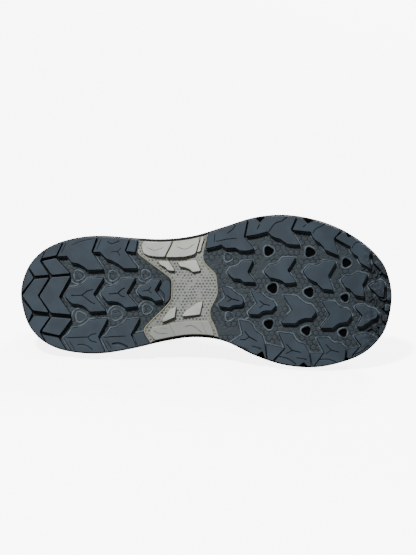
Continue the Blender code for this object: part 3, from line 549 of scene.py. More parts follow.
@dataclass(frozen=True)
class PlateFinish:
    """Grey moulded plate, stippled with small dimples between its raised blocks, with painted shade and
    highlights.
    """

    name: str = "grey_plate"
    colour: Colour = (0.100, 0.105, 0.100)
    # Painted highlight: the raised faces get a lighter grey than the web.
    raised: Colour = (0.195, 0.204, 0.190)
    # Painted shade in the dimples.
    dimple: Colour = (0.014, 0.015, 0.011)
    # Painted shade: an olive tint that stands in for the shadow on the block walls.
    wall: Colour = (0.120, 0.110, 0.060)
    roughness: float = 0.5
    pitch: float = 2.6 * MM

    def build(self) -> Material:
        """Wire the plate."""
        skin = Surface(self.name)
        place = skin.place()
        depth, height = skin.part(place, "Z"), PLAN.lug_height
        web = skin.ease(depth, height - 0.35 * MM, height - 0.1 * MM)
        centre = skin.honeycomb(skin.drift(place, 9 * MM, 1.6 * MM), self.pitch)[0]
        dot = skin.rest(skin.ease(centre, 0.20, 0.34))
        uneven = skin.ease(skin.noise(place, 5 * MM), 0.30, 0.55)
        dot = skin.times(dot, skin.times(web, uneven))
        # Painted highlight: the raised faces are lighter than the web.
        colour = skin.blend(web, self.raised, self.colour)
        low = skin.ease(skin.part(place, "Y"), 17 * MM, 20 * MM)
        colour = skin.blend(skin.times(low, 0.75), colour,
                               toned(self.colour, 0.82))
        stain = skin.ease(skin.noise(place, 11 * MM, 3), 0.45, 0.75)
        colour = skin.blend(skin.times(stain, 0.3), colour,
                               toned(self.colour, 0.75))
        # Painted shade in the dimples, which the bump below also sinks.
        colour = skin.blend(skin.times(dot, 0.85), colour, self.dimple)
        # Painted shade on the block walls, in olive.
        wall = skin.ease(skin.slope(), 0.22, 0.45)
        colour = skin.blend(skin.times(wall, 0.92), colour, self.wall)
        normal = skin.bump(skin.rest(dot), 0.3 * MM)
        normal = skin.bump(skin.noise(place, 0.9 * MM, 3), 0.04 * MM, normal)
        return skin.finish(colour, self.roughness, normal, Specular_IOR_Level=0.3)


@dataclass(frozen=True)
class PlainFinish:
    """Moulded or coated material of one tone, with a fine grain."""

    name: str
    colour: Colour
    roughness: float
    grain: float = 0.6 * MM
    depth: float = 0.03 * MM
    drift: float = 0.15
    gloss: float = 0.25

    def build(self) -> Material:
        """Wire the finish."""
        skin = Surface(self.name)
        place = skin.place()
        patch = skin.ease(skin.noise(place, 12 * MM, 3), 0.35, 0.7)
        colour = skin.blend(patch, self.colour,
                               toned(self.colour, 1 - self.drift))
        normal = skin.bump(skin.noise(place, self.grain, 3), self.depth)
        worn = skin.times(skin.noise(place, 3 * MM, 3), 0.14)
        rough = skin.math("ADD", self.roughness - 0.07, worn)
        return skin.finish(colour, rough, normal, Specular_IOR_Level=self.gloss)


@dataclass(frozen=True)
class KnitFinish:
    """Knitted mesh with small open cells."""

    name: str
    colour: Colour
    hole: Colour
    pitch: float = 2.0 * MM

    def build(self) -> Material:
        """Wire the knit."""
        skin = Surface(self.name)
        weave = skin.weave()
        centre, edge = skin.honeycomb(weave, self.pitch)
        hole = skin.rest(skin.ease(centre, 0.16, 0.34))
        thread = skin.noise(weave, 0.35 * MM, 3)
        colour = skin.blend(thread, toned(self.colour, 0.75), self.colour)
        colour = skin.blend(hole, colour, self.hole)
        normal = skin.bump(skin.ease(edge, 0.0, 0.4), -0.35 * MM)
        normal = skin.bump(thread, 0.05 * MM, normal)
        return skin.finish(colour, 0.85, normal, Sheen_Weight=0.15, Sheen_Roughness=0.5)


@dataclass(frozen=True)
class BraidFinish:
    """Flat woven braid, for laces, bindings and lining cloth."""

    name: str
    colour: Colour
    pitch: float = 1.1 * MM

    def build(self) -> Material:
        """Wire the braid."""
        skin = Surface(self.name)
        weave = skin.weave()
        along = skin.part(weave, "X")
        across = skin.math("ABSOLUTE", skin.part(weave, "Y"))
        turn = 2 * math.pi / self.pitch
        rib = skin.math("SINE", skin.times(
            skin.math("ADD", along, skin.times(across, 0.8)), turn))
        rib = skin.ease(rib, -0.9, 0.9)
        thread = skin.noise(weave, 0.3 * MM, 3)
        colour = skin.blend(rib, toned(self.colour, 0.55), self.colour)
        colour = skin.blend(skin.times(thread, 0.3), colour,
                               toned(self.colour, 0.6))
        normal = skin.bump(rib, 0.22 * MM)
        normal = skin.bump(thread, 0.05 * MM, normal)
        return skin.finish(colour, 0.8, normal, Sheen_Weight=0.2, Sheen_Roughness=0.5)


@dataclass(frozen=True)
class FloorFinish:
    """White paper floor."""

    name: str = "floor_paper"
    colour: Colour = (0.90, 0.90, 0.90)
    glow: float = 5.0

    def build(self) -> Material:
        """Wire the floor."""
        skin = Surface(self.name)
        spot = skin.node("TexCoord").outputs["Object"]
        colour = skin.blend(skin.noise(spot, 0.6, 2), self.colour,
                               toned(self.colour, 0.985))
        return skin.finish(colour, 0.9, Specular_IOR_Level=0.2,
                              Emission_Color=(1, 1, 1, 1), Emission_Strength=self.glow)


RUBBER = RubberFinish()
PLATE = PlateFinish()
BEAD = PlainFinish("seam_bead", (0.120, 0.114, 0.078), 0.55)
FOAM = PlainFinish("black_foam", (0.0040, 0.0043, 0.0050), 0.75, 0.9 * MM, 0.06 * MM, gloss=0.06)
# Near-black patches behind the drain holes and notches: painted shade that makes them read black.
DARK = PlainFinish("drain_shade", (0.0008, 0.0008, 0.0010), 1.0, gloss=0.03)
FILM = PlainFinish("overlay_film", (0.020, 0.024, 0.029), 0.55, 0.4 * MM, 0.02 * MM)
RING = PlainFinish("eyelet_ring", (0.035, 0.038, 0.043), 0.30, 0.5 * MM, 0.01 * MM)
KNIT = KnitFinish("black_knit", (0.030, 0.033, 0.038), (0.006, 0.006, 0.007))
LINING = BraidFinish("lining_cloth", (0.050, 0.062, 0.072), 0.9 * MM)
FOOTBED = KnitFinish("footbed_cloth", (0.090, 0.110, 0.125), (0.045, 0.055, 0.062), 1.5 * MM)
LACE = BraidFinish("lace_braid", (0.075, 0.108, 0.135))
BINDING = BraidFinish("binding_tape", (0.022, 0.025, 0.030), 0.8 * MM)
THREAD = BraidFinish("sewing_thread", (0.085, 0.115, 0.140), 0.5 * MM)
_MADE: dict[str, Material] = {}


def dressed(finish: object) -> Material:
    """Material of a finish, wired the first time that it is asked for."""
    if finish.name not in _MADE:
        _MADE[finish.name] = finish.build()
    return _MADE[finish.name]


def shoe_matrix(record: dict) -> Matrix:
    """Place of the standing shoe in the row's frame, from the two faces of its tread.

    Args:
        record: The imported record.

    Returns:
        The matrix from the standing shoe to the row.
    """
    heel_face, ball_face = Vector((46, 0, 0)) * MM, Vector((187.5, 6.6, 0)) * MM
    heel, ball = record["mounts"]
    start, end = Vector(heel["pos_m"]), Vector(ball["pos_m"])
    up = -Vector(heel["axis"]).normalized()
    ahead = (end - start) - up * (end - start).dot(up)
    ahead.normalize()
    aside = up.cross(ahead)
    turn = math.atan2(ball_face.y - heel_face.y, ball_face.x - heel_face.x)
    x_axis = ahead * math.cos(turn) - aside * math.sin(turn)
    y_axis = ahead * math.sin(turn) + aside * math.cos(turn)
    turned = Matrix((x_axis, y_axis, up)).transposed()
    return Matrix.Translation(start - turned @ heel_face) @ turned.to_4x4()


class Workshop:
    """Turns shapes of the standing shoe into finished pieces of the laid-down shoe."""

    contact = 0.05 * MM

    def __init__(self, frame: dict) -> None:
        """Find where the shoe lies.

        Args:
            frame: What the frame's load() returned.
        """
        self.nodes = frame["nodes"]
        self.to_row = shoe_matrix(frame["record"])
        self.to_shoe = self.to_row.inverted()

    def add(self, name: str, shape: BMesh, finishes: Sequence, slot: str,
            replaces: Sequence[str] = (), place: Callable[[Vector], Vector] | None = None,
            angle: float = 32) -> Object:
        """Finish a piece: keep its place for its materials, lay it down and let it ride.

        Args:
            name: Name of the piece.
            shape: Its shape, in the standing shoe or, with place, flat.
            finishes: Its finishes, in the order of its material numbers.
            slot: Slot of the record that its look is for; not used.
            replaces: Frame nodes that it stands for.
            place: Moves a point of a flat shape to the standing shoe.
            angle: Edges sharper than this, in degrees, stay crisp.

        Returns:
            The finished object.
        """
        mesh = bpy.data.meshes.new(name)
        shape.to_mesh(mesh)
        flat = np.empty(len(mesh.vertices) * 3, np.float32)
        mesh.vertices.foreach_get("co", flat)
        mesh.attributes.new(PLACE, "FLOAT_VECTOR", "POINT").data.foreach_set("vector", flat)
        slopes = [1 - abs(face.normal.z) for face in mesh.polygons]
        mesh.attributes.new(SLOPE, "FLOAT", "FACE").data.foreach_set("value", slopes)
        for vert in mesh.vertices:
            spot = self.to_row @ (place(vert.co) if place else vert.co)
            vert.co = (spot.x, spot.y, max(spot.z, self.contact))
        shape.free()
        mesh.polygons.foreach_set("use_smooth", [True] * len(mesh.polygons))
        mesh.set_sharp_from_angle(angle=math.radians(angle))
        piece = bpy.data.objects.new(name, mesh)
        bpy.context.scene.collection.objects.link(piece)
        for finish in finishes:
            mesh.materials.append(dressed(finish))
        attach(piece, BODY)
        if replaces:
            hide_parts(*replaces)
        LOG.info("%s: %d faces", name, len(mesh.polygons))
        return piece


def temporary(name: str, shape: BMesh) -> Object:
    """Put a shape into an object for a modifier to use."""
    mesh = bpy.data.meshes.new(name)
    shape.to_mesh(mesh)
    thing = bpy.data.objects.new(name, mesh)
    bpy.context.scene.collection.objects.link(thing)
    return thing


def discard(*things: Object) -> None:
    """Remove objects and their meshes."""
    for thing in things:
        mesh = thing.data
        bpy.data.objects.remove(thing)
        bpy.data.meshes.remove(mesh)


def carved(shape: BMesh, form: BMesh, crossing: bool = False) -> BMesh:
    """Cut a form out of a shape.

    Args:
        shape: The shape, which is used up.
        form: The form, which is used up.
        crossing: Whether parts of the form cross each other.

    Returns:
        The new shape.
    """
    target, tool = temporary("target", shape), temporary("tool", form)
    change = target.modifiers.new("change", "BOOLEAN")
    change.operation, change.solver, change.object = "DIFFERENCE", "EXACT", tool
    change.use_self = crossing
    made = bmesh.new()
    made.from_object(target, bpy.context.evaluated_depsgraph_get())
    discard(target, tool)
    shape.free()
    form.free()
    return made


def added(shape: BMesh, extra: BMesh) -> None:
    """Add a shape to another, side by side, and use it up."""
    mesh = bpy.data.meshes.new("extra")
    extra.to_mesh(mesh)
    shape.from_mesh(mesh)
    bpy.data.meshes.remove(mesh)
    extra.free()


def prism(outline: Sequence[Point], low: float, high: float) -> tuple[BMesh, set]:
    """Raise an upright solid from an outline.

    Args:
        outline: Points of the outline.
        low: Height that it starts at.
        high: Height that it ends at.

    Returns:
        The closed shape, and the vertices of its far face.
    """
    shape = bmesh.new()
    face = shape.faces.new([shape.verts.new((x, y, low)) for x, y in outline])
    made = bmesh.ops.extrude_face_region(shape, geom=[face])["geom"]
    moved = {item for item in made if isinstance(item, bmesh.types.BMVert)}
    bmesh.ops.translate(shape, verts=list(moved), vec=(0, 0, high - low))
    bmesh.ops.recalc_face_normals(shape, faces=shape.faces)
    return shape, moved


def bevelled(shape: BMesh, verts: set, width: float, steps: int) -> None:
    """Bevel the edges that join some vertices of a shape."""
    rim = [edge for edge in shape.edges if all(vert in verts for vert in edge.verts)]
    bmesh.ops.bevel(shape, geom=rim, offset=width, segments=steps, profile=0.5,
                    affect="EDGES", material=-1, clamp_overlap=True)


def mapped(shape: BMesh) -> None:
    """Give a shape a weave map from its own x and y."""
    uv = shape.loops.layers.uv.new("weave")
    for face in shape.faces:
        for corner in face.loops:
            corner[uv].uv = corner.vert.co.xy


def sliced(shape: BMesh, pitch: float, axis: int = 0) -> None:
    """Cut a flat shape into strips, so that it can bend.

    Args:
        shape: The shape.
        pitch: Width of a strip.
        axis: Axis that the strips follow each other along.
    """
    values = [vert.co[axis] for vert in shape.verts]
    square = Vector((0, 0, 0))
    square[axis] = 1
    for place in np.arange(math.floor(min(values) / pitch) + 1, max(values) / pitch) * pitch:
        bmesh.ops.bisect_plane(shape, geom=[*shape.verts, *shape.edges, *shape.faces],
                               plane_co=square * float(place), plane_no=square, dist=1e-7)


def lofted(sections: Sequence[Sequence[Vector]], closed: bool = True, ends: bool = True,
           loop: bool = False) -> BMesh:
    """Skin a row of sections, with a UV map in metres along and across them.

    Args:
        sections: Sections with one number of points each.
        closed: Whether each section is a ring.
        ends: Whether the two ends are filled.
        loop: Whether the last section joins the first.

    Returns:
        The shape.
    """
    spots = np.array([[tuple(point) for point in row] for row in sections])
    rows, sides = spots.shape[:2]
    down, across = rows if loop else rows - 1, sides if closed else sides - 1
    along = travelled(np.vstack((spots, spots[:1])).mean(axis=1))
    width = travelled(np.vstack((spots[rows // 2], spots[rows // 2][:1])))
    width -= width[across] / 2
    shape = bmesh.new()
    bmesh.ops.create_grid(shape, x_segments=across, y_segments=down, size=0.5)
    uv = shape.loops.layers.uv.new("weave")
    keys = {}
    for vert in shape.verts:
        keys[vert] = (round((vert.co.y + 0.5) * down), round((vert.co.x + 0.5) * across))
    for face in shape.faces:
        for corner in face.loops:
            row, side = keys[corner.vert]
            corner[uv].uv = (along[row], width[side])
    for vert, (row, side) in keys.items():
        vert.co = spots[row % rows][side % sides]
    bmesh.ops.remove_doubles(shape, verts=shape.verts, dist=1e-8)
    if ends and closed and not loop:
        rims = [edge for edge in shape.edges if edge.is_boundary]
        bmesh.ops.holes_fill(shape, edges=rims, sides=0)
    if closed:
        bmesh.ops.recalc_face_normals(shape, faces=shape.faces)
    return shape


class Lug(NamedTuple):
    """One raised block of the tread: its outline, and how deep its face lies, in millimetres."""

    outline: tuple
    step: float = 0.0


class Line(NamedTuple):
    """One line cut into a block or raised on the web, in millimetres."""

    points: tuple
    width: float = 1.0
    depth: float = 0.8


class Ring(NamedTuple):
    """One raised ring mark on the web, in millimetres, between two angles in degrees."""

    x: float
    y: float
    radius: float
    start: float = 0.0
    end: float = 360.0


LATERAL, MEDIAL = Side.LATERAL, Side.MEDIAL

HEEL_SEAM = (
    (91.5, -42.2), (89.7, -38.5), (89.3, -36), (90.6, -32.4), (93.4, -29.8), (104.5, -21.6),
    (112.2, -15.8), (115.0, -13), (116.1, -9.5), (115.9, 0), (115, 4), (109.7, 10.3),
    (100.7, 19), (95.9, 24.3), (95.1, 27), (96.5, 31), (99.5, 35.2), (100.8, 37.0),
)
FOREFOOT_SEAM = (
    (143.8, -46.5), (141.5, -39), (140, -32), (140.5, -26.6), (143, -23), (148.6, -17.4),
    (150, -14.5), (150.6, -10), (151.1, -4), (150.5, 0), (148.5, 4.5), (145.9, 9.5),
    (145.4, 14), (146.4, 18.5), (148.7, 23), (150.5, 28), (151.5, 32.5),
)

HEEL_LUGS = (
    Lug(((1.6, -2.9), (10.3, -13.6), (6.9, -19.6), Rim(5.4, 1))),
    Lug(((1.6, 2.9), (9.4, 12.7), (6.5, 19.4), Rim(5.2, 1))),
    Lug(((7.2, -21.2), (11.3, -15.3), (22, -16.1), (15.3, -26.2), (18.9, -34.1),
      Rim(18.2, 7.8))),
    Lug(((1.8, 0), (11, -12.6), (22, -13.7), (13.5, 0), (21.8, 12.8), (10, 11.3))),
    Lug(((7, 21), (10.8, 15.2), (22.8, 16.2), (15.3, 26.6), (15.1, 28), (18.9, 35.2),
      Rim(18.2, 7.8))),
    Lug(((17, -28.8), (27.8, -31), (32.2, -40.6), Rim(31.4, 21.8), (20.4, -35.2))),
    Lug(((17, -26.3), (27.6, -28.6), (38.2, -17.2), (24.5, -15.9))),
    Lug(((15, 0.5), (24.3, -14), (38.5, -15), (29.8, 1), (39, 14.4), (23.8, 13))),
    Lug(((24.4, 16.4), (39.5, 17.8), (30.2, 30.4), (16.8, 27.4))),
    Lug(((17, 29.8), (29.4, 32.2), (35.4, 41.8), Rim(34.6, 22.2), (20.9, 36.4))),
    Lug(((28.8, -30.2), (36, -30.5), (39.5, -25.6), (44.6, -24.7), (48.5, -22.6), (52, -19.8),
      (64, -20.2), (54.6, -33.8), (58.6, -44.6), Rim(58.2, 34.2), (33.6, -40.6))),
    Lug(((34.1, 0), (38.4, -6.2), (43, -6.6), (47, -8), (50, -10.5), (52.2, -13.2), (64.1, -13.8),
      (56, -1), (65.8, 11.6), (53.4, 12.3), (51, 9.5), (48, 7.5), (44, 6.3), (40, 6), (38, 4.5))),
    Lug(((33.6, 32.4), (37, 30.4), (40.8, 24.7), (44, 24.8), (48, 23.3), (51, 21.5), (53.8, 18.4),
      (67, 17.6), (59.7, 31.5), (64.6, 42), Rim(64, 41), (39.6, 41.8))),
    Lug(((56.2, -33.4), (61.2, -33.7), (66.2, -28.4), (70, -27.2), (74.8, -24.7), (79, -21.5),
      (80.3, -21), (89, -21), (89.8, -21.8), (80.2, -34.5), (83.2, -42.6), Rim(82.8, 60.6),
      (60.2, -43.8))),
    Lug(((81, -34), (88.2, -33), (89, -36), (89.8, -41), Rim(90.2, 84.8), (84.2, -41.6)), 0.9),
    Lug(((62, -1.2), (65.8, -6.3), (70.5, -7), (75.5, -9.5), (78.1, -12.7), (88.4, -13.7), (81.4, -2),
      (90.3, 8), (80.5, 9.1), (78, 6.5), (75, 4.8), (71, 4.3), (66.8, 4.3))),
    Lug(((62.6, 32.5), (66.3, 30.4), (69.7, 25.2), (73.5, 24.7), (77.5, 22.5), (79.5, 20.5), (81.8, 18.6),
      (91.5, 17.3), (84.7, 29.9), (88.8, 38.2), Rim(88.2, 68.8), (67.6, 41.6))),
    Lug(((86.2, 29.6), (94.6, 27.8), (95.7, 31.2), (98.6, 35.3), Rim(99, 90.6), (89.8, 37.6)),
      0.9),
    Lug(((89.9, -3.2), (92.4, -6.9), (95.5, -7.2), (99, -9.5), (100.5, -11.6), (107.6, -12.2),
      (103, -4.1), (109, 3.1), (103.2, 4.2), (101, 2), (98, 0.8), (93.6, 0.4), (90.8, -1.8))),
    Lug(((109.8, -11.6), (114.2, -11.8), (115.2, -9.2), (115, 0), (114.2, 3.4), (110.6, 6.6), (110.8, -1),
      (106.6, -5.4)), 3.5),
)
HEEL_GROOVES = (
    Line(((39.4, -0.2), (47.5, -0.3), (51.5, -3.6), (56, -4.6))),
    Line(((47.5, -0.3), (51, 2.2), (54.6, 5.2), (57.6, 6.2)), 0.8),
    Line(((68, -1.3), (75, -1.9), (77.6, -4.6), (80.6, -6))),
    Line(((75, -1.9), (77.8, 0.4), (80.6, 1.2)), 0.8),
    Line(((93.4, -3.4), (98.4, -4.2), (100.4, -6.6)), 0.8), Line(((98.4, -4.2), (100.8, -1.8)), 0.8),
    Line(((35.6, 32.2), (44, 31.9), (52, 31.7)), 0.9, 0.7),
    Line(((52, 31.7), (54.8, 29.6), (58.4, 29)), 0.9, 0.7),
    Line(((52, 31.7), (54.2, 34.6), (58.8, 35.8)), 0.9, 0.7),
    Line(((37.8, 35), (42.4, 41.6)), 0.8, 0.6),
    Line(((44, 38), (48, 37.6), (52, 39), (55.6, 41.6)), 1.8, 0.7),
    Line(((64.4, 32), (70, 31.4), (81, 31)), 0.9, 0.7),
    Line(((70.5, 37.3), (75.6, 36.9), (79.6, 38.2), (82.6, 39.8)), 2.6, 1.3),
    Line(((66, 34), (70.4, 40.6)), 0.8, 0.6), Line(((31.8, -33), (35.4, -40.4)), 0.8, 0.5),
    Line(((39.6, -38.4), (46.6, -41.2), (54.8, -43.2)), 1.6, 0.5),
    Line(((58.8, -35.4), (62.2, -43.2)), 0.8, 0.6),
    Line(((66.8, -41.4), (70.6, -39.4), (76.4, -41.8)), 1.8, 0.7),
    Line(((69.6, -33.6), (74.6, -33.8), (77.4, -36.6)), 0.8, 0.5),
    Line(((74.6, -33.8), (76.6, -30.6)), 0.8, 0.5),
)
HEEL_RINGS = (
    Ring(45, -15.5, 4), Ring(46.3, 16.3, 4), Ring(71.5, -15.2, 4), Ring(74, 14.8, 4.3),
    Ring(96.3, -16.2, 3.6), Ring(97.3, 10.5, 3.8), Ring(45, -15.5, 6.8, 10, 150),
    Ring(46.3, 16.3, 6.8, 180, 330), Ring(71.5, -15.2, 6.8, 10, 160), Ring(74, 14.8, 7, 190, 330),
    Ring(96.3, -16.2, 6.2, 20, 170), Ring(97.3, 10.5, 6.4, 190, 330),
)

FOREFOOT_LUGS = (
    Lug(((142.6, -36.2), (152.4, -38.5), (153.6, -39.5), (157.3, -36.6), (160.2, -36.7), (164.5, -36.9),
      (168.3, -34.8), (172.5, -34.5), (176, -34.9), (179, -36), (171.3, -45), (174, -58),
      Rim(173.4, 145), (143.6, -44))),
    Lug(((173, -45.7), (180.2, -46.8), (189.5, -49.3), (192.1, -46.4), (195, -44.8), (199.3, -43.5),
      (202, -41.6), (204.5, -39.9), (209.5, -39.2), (214, -39.3), (207.3, -50.8), (211.4, -60.4),
      Rim(211, 176.2), (175.4, -57.6))),
    Lug(((208.9, -50.4), (222.8, -49), (224, -45.4), (226.4, -42.6), (229.8, -40.4), (232.6, -37.3),
      (233.5, -35.4), (244, -31), (240.3, -43.7), (245.6, -50), Rim(245, 213.6),
      (213, -59.2))),
    Lug(((241.8, -44), (253.5, -37.6), (253.5, -34.5), (255.8, -32.1), (258.9, -30.3), (259.9, -27.4),
      (261.3, -25), (267.4, -21.6), (269, -20.4), (269, -25), (267.8, -28.3), (267.7, -31),
      (269.4, -33.6), Rim(269, 248.2), (247.2, -48.6))),
    Lug(((271.2, -25.5), (275.3, -21.5), (279.5, -16.2), (281.6, -16.4), Rim(281.2, 272.2),
      (270.8, -31))),
    Lug(((158.8, -17.8), (161.4, -21.3), (165, -22), (168, -23.5), (170, -26.1), (178.4, -27.1),
      (174, -18), (180.3, -10.3), (171, -10.6), (168.6, -12.9), (164.5, -13.1), (162.6, -13.6))),
    Lug(((187, -18.3), (191.4, -23.4), (195, -23.8), (198.7, -25.9), (201.3, -29), (211, -29.2),
      (204.6, -19.2), (211.6, -10.4), (207.4, -9.7), (203, -9.5), (200, -12), (196, -13),
      (191.3, -14.1))),
    Lug(((217, -18.4), (221.2, -23.3), (226, -23.1), (229.9, -24.5), (232.6, -26.9), (242, -25.6),
      (235.9, -15.2), (240, -4.4), (232, -5.2), (230.3, -6.5), (226.8, -10.4), (223, -12), (220, -14))),
    Lug(((246.2, -11.5), (250, -15.2), (254.3, -15), (257, -16.4), (259, -18), (266.5, -16.1),
      (262.3, -8.4), (263.2, -5.6), (264, 0.5), (262.7, 0.7), (256.7, -0.6), (255, -2.6), (253, -5),
      (249.4, -6.7))),
    Lug(((267.4, -7.5), (270.7, -9.9), (274.1, -9.9), (276.5, -11.9), (280, -9.5), (279.5, -4.5),
      (279, 1.4), (275, 0.5), (271.5, -3.6), (269, -5.5))),
    Lug(((154.5, -7.1), (161.6, -5.3), (163.1, -3.4), (166, -0.9), (169.2, 0.3), (171.4, 4), (169.8, 6.8),
      (163.1, 7.3), (160.3, 9.2), (153, 8), (151.9, 6.9), (157.9, 1.3))),
    Lug(((177, -3.1), (185, -1.9), (186.9, 0.6), (189.8, 2.6), (193.5, 3.9), (196, 7.6), (192.4, 11.4),
      (187.9, 11.3), (185, 12.2), (182.7, 14.3), (175.5, 14), (174.9, 12.9), (181.8, 6))),
    Lug(((201.8, -0.2), (211.5, 0.5), (213.4, 2.3), (216.5, 5), (219.3, 6.5), (223.2, 7.2), (226.8, 12.2),
      (223, 17.1), (217.5, 17.2), (213.6, 18.7), (210.8, 21.1), (201, 21.1), (200.1, 20.3),
      (208.9, 11))),
    Lug(((231.2, 4), (241.1, 4.7), (243, 7.2), (246.1, 9.6), (250.8, 10.2), (254.3, 15.1), (250.5, 20.1),
      (245, 20.9), (242.1, 22.6), (239.7, 24.7), (230.1, 24.6), (237.9, 14.7))),
    Lug(((256.8, 8.7), (260, 7.3), (265, 7.4), (267.1, 9.5), (271.9, 10.3), (274.7, 13.2), (273.5, 17),
      (270, 18.5), (262, 23.8), (258.2, 23.8), (263, 15.5))),
    Lug(((168.2, 18.8), (175.4, 20.4), (177.9, 22.6), (179.5, 26.2), (182, 28.8), (185, 30.3),
      (187, 35.8), (188.6, 48.6), Rim(187.8, 163), (162.2, 35.6), (171, 30))),
    Lug(((188.4, 37), (202.4, 40.4), (193.6, 49.4), Rim(193, 190.4), (189.7, 48.4)), 1.6),
    Lug(((198.2, 28.2), (208.7, 29.7), (210.5, 33.2), (213.2, 35.8), (217.6, 37.4), (221, 42.9),
      (222.8, 53.6), Rim(222, 195.4), (194.8, 50.6), (203.3, 40.6))),
    Lug(((222.4, 44.2), (232.2, 44.2), (225.4, 53.2), Rim(225, 224.2)), 1.6),
    Lug(((227.5, 32.8), (236.1, 32.4), (238.4, 35.1), (240.9, 36.4), (246, 36.8), (249.6, 40.6),
      (248.6, 48.6), Rim(248, 226.8), (226.2, 53.8), (233.4, 43.7))),
    Lug(((251.2, 41.6), (260.2, 39.4), (254.8, 45.4), Rim(254.4, 250.6)), 1.6),
    Lug(((256.4, 31), (264.8, 28.8), (268, 30.3), (271.6, 31.4), (273.2, 33.2), Rim(272.6, 254.4),
      (262.2, 38.3))), Lug(((281.8, -7), (281.8, 3.6), (284.6, 3.8), (284.8, -5))),
    Lug(((280.2, 6.2), (283.8, 7), (283.4, 11.4), (279.8, 11.8))),
    Lug(((277.9, 15.4), (281.8, 14.4), (281.4, 19.6), (278.4, 19.8))),
    Lug(((276.4, 22.6), (280.4, 23.2), (278.2, 28.4), (275.2, 30.6))),
)
FOREFOOT_GROOVES = (
    Line(((158, -0.5), (162, 2.5), (168, 4))), Line(((162, 2.7), (158.6, 4.6)), 0.8),
    Line(((183.4, 3.8), (187, 6.6), (191.6, 7.6))), Line(((187, 6.6), (183.2, 9.6)), 0.8),
    Line(((172, 27), (175.5, 31.5), (181.5, 35)), 1),
    Line(((175.5, 31.6), (172.4, 33.8), (168.4, 33.4)), 0.9),
    Line(((204, 37), (208.5, 42), (215, 43.5)), 1), Line(((208.5, 42), (203.6, 44.4)), 0.9),
    Line(((234.4, 37.4), (238.4, 41.8), (244.6, 43.4)), 0.9),
    Line(((238.4, 41.8), (234.4, 44.6)), 0.8),
    Line(((150, -41.5), (158, -43.2), (166, -44)), 0.9, 0.6),
    Line(((149.3, -47.3), (148.8, -41.2)), 0.9, 0.6),
    Line(((158.8, -47.6), (163, -50.6), (165, -54)), 1.4, 0.7),
    Line(((183.6, -54.5), (181.4, -50.7)), 1, 0.8),
    Line(((190.6, -48.8), (193.6, -53), (196.4, -55.7), (200.7, -57), (204.5, -60.2)), 1.4, 0.8),
    Line(((219, -54.5), (217, -52.6)), 1, 0.8),
    Line(((224.4, -47.6), (227, -51.2), (231, -53), (235, -55.6)), 1.4, 0.8),
    Line(((254.6, -36.4), (257.4, -40.4), (261.4, -41)), 1.3, 0.7),
    Line(((161.6, 37.4), (172, 40.6), (178, 45.4)), 1.6, 0.8),
    Line(((177.6, 38.6), (184.6, 40.8)), 1.4, 0.7),
    Line(((197.4, 46.6), (205.4, 48.6), (211.4, 52.6)), 1.6, 0.8),
    Line(((211.6, 47.6), (219.6, 49)), 1.4, 0.7), Line(((229, 49), (236.4, 49), (242, 51)), 1.5, 0.8),
    Line(((256.6, 45.2), (262, 43), (267.6, 38)), 1.4, 0.8),
)
FOREFOOT_RINGS = (Ring(159.5, -29.3, 3.5), Ring(160.5, 16.0, 3.5), Ring(167.2, -3.4, 7.4, 20, 80),
                  Ring(171.2, 13.0, 5.4, 40, 140))
TOE_NUBS = (
    Line(((269.2, -7.8), (273.7, -10.4), (278.9, -9.9)), 2.4, 2.2),
    Line(((271.2, -3.7), (274.6, -2), (278.4, -2.9)), 2.4, 1.8),
    Line(((267.6, 4.5), (271.4, 1.6), (273.2, 4), (272.4, 7.4)), 2, 1.4),
    Line(((277.6, 9.4), (280.2, 7.2), (282.6, 8.4)), 2.6, 3.2),
    Line(((278.2, 14.4), (280.4, 16.2), (280, 19.8)), 2.6, 3),
    Line(((274.4, 23), (277.4, 23.6), (279, 21.2)), 2.6, 3),
    Line(((270, -17.6), (272.4, -20.2), (274, -16.6), (272.6, -14.4)), 2, 1.4),
    Line(((271.6, -26.6), (274.4, -24.8), (276.4, -22)), 2.6, 3),
    Line(((275.6, -17), (278.2, -18.6), (280, -15.6)), 2.4, 2.6),
    Line(((266.2, 26.6), (269.8, 24.8), (273, 27.2)), 2.2, 1.8),
    Line(((276.6, 2), (279.4, 3.4), (282, 1.6)), 2.4, 2.4),
    Line(((262, -19.5), (264.6, -21.4), (266.8, -18.8)), 1.8, 1.2),
)
DRAINS = (
    ((188.3, -37.6), (194.6, -34.3), (188.8, -30.6)),
    ((220.1, -37.2), (226.4, -33.0), (220.3, -29.8)),
    ((248.8, -28.7), (254.0, -25.0), (248.3, -21.8)),
    ((189.3, -5.4), (196.2, -9.5), (195.2, -2.1)),
    ((217.8, -2.7), (224.2, -6.2), (222.7, 1.2)),
    ((246.0, 1.6), (251.7, -1.2), (249.7, 4.7)),
    ((186.8, 21.1), (194.0, 19.0), (191.1, 25.5)),
    ((215.8, 27.1), (222.2, 23.6), (220.2, 30.2)),
    ((244.6, 28.4), (250.5, 25.3), (248.2, 31.7)),
)
NOTCHES = (
    ((180.6, -59.0), (183.9, -56.0), (187.5, -60.0), (187.5, -65), (180.6, -65)),
    ((216.8, -59.0), (220.2, -55.2), (225.7, -57.8), (226.4, -63), (216.2, -63)),
    ((249.4, -48.6), (251.2, -44.7), (255.2, -45.6), (258.0, -49), (250.6, -53)),
    ((179.6, 46.0), (185.8, 42.3), (188.4, 50.0), (188.0, 56), (178.0, 52)),
    ((212.8, 54.2), (217.3, 50.8), (220.4, 54.0), (220.6, 60), (212.4, 60)),
    ((247.4, 50.2), (250.0, 47.0), (252.6, 48.4), (254.0, 54), (248.0, 56)),
)

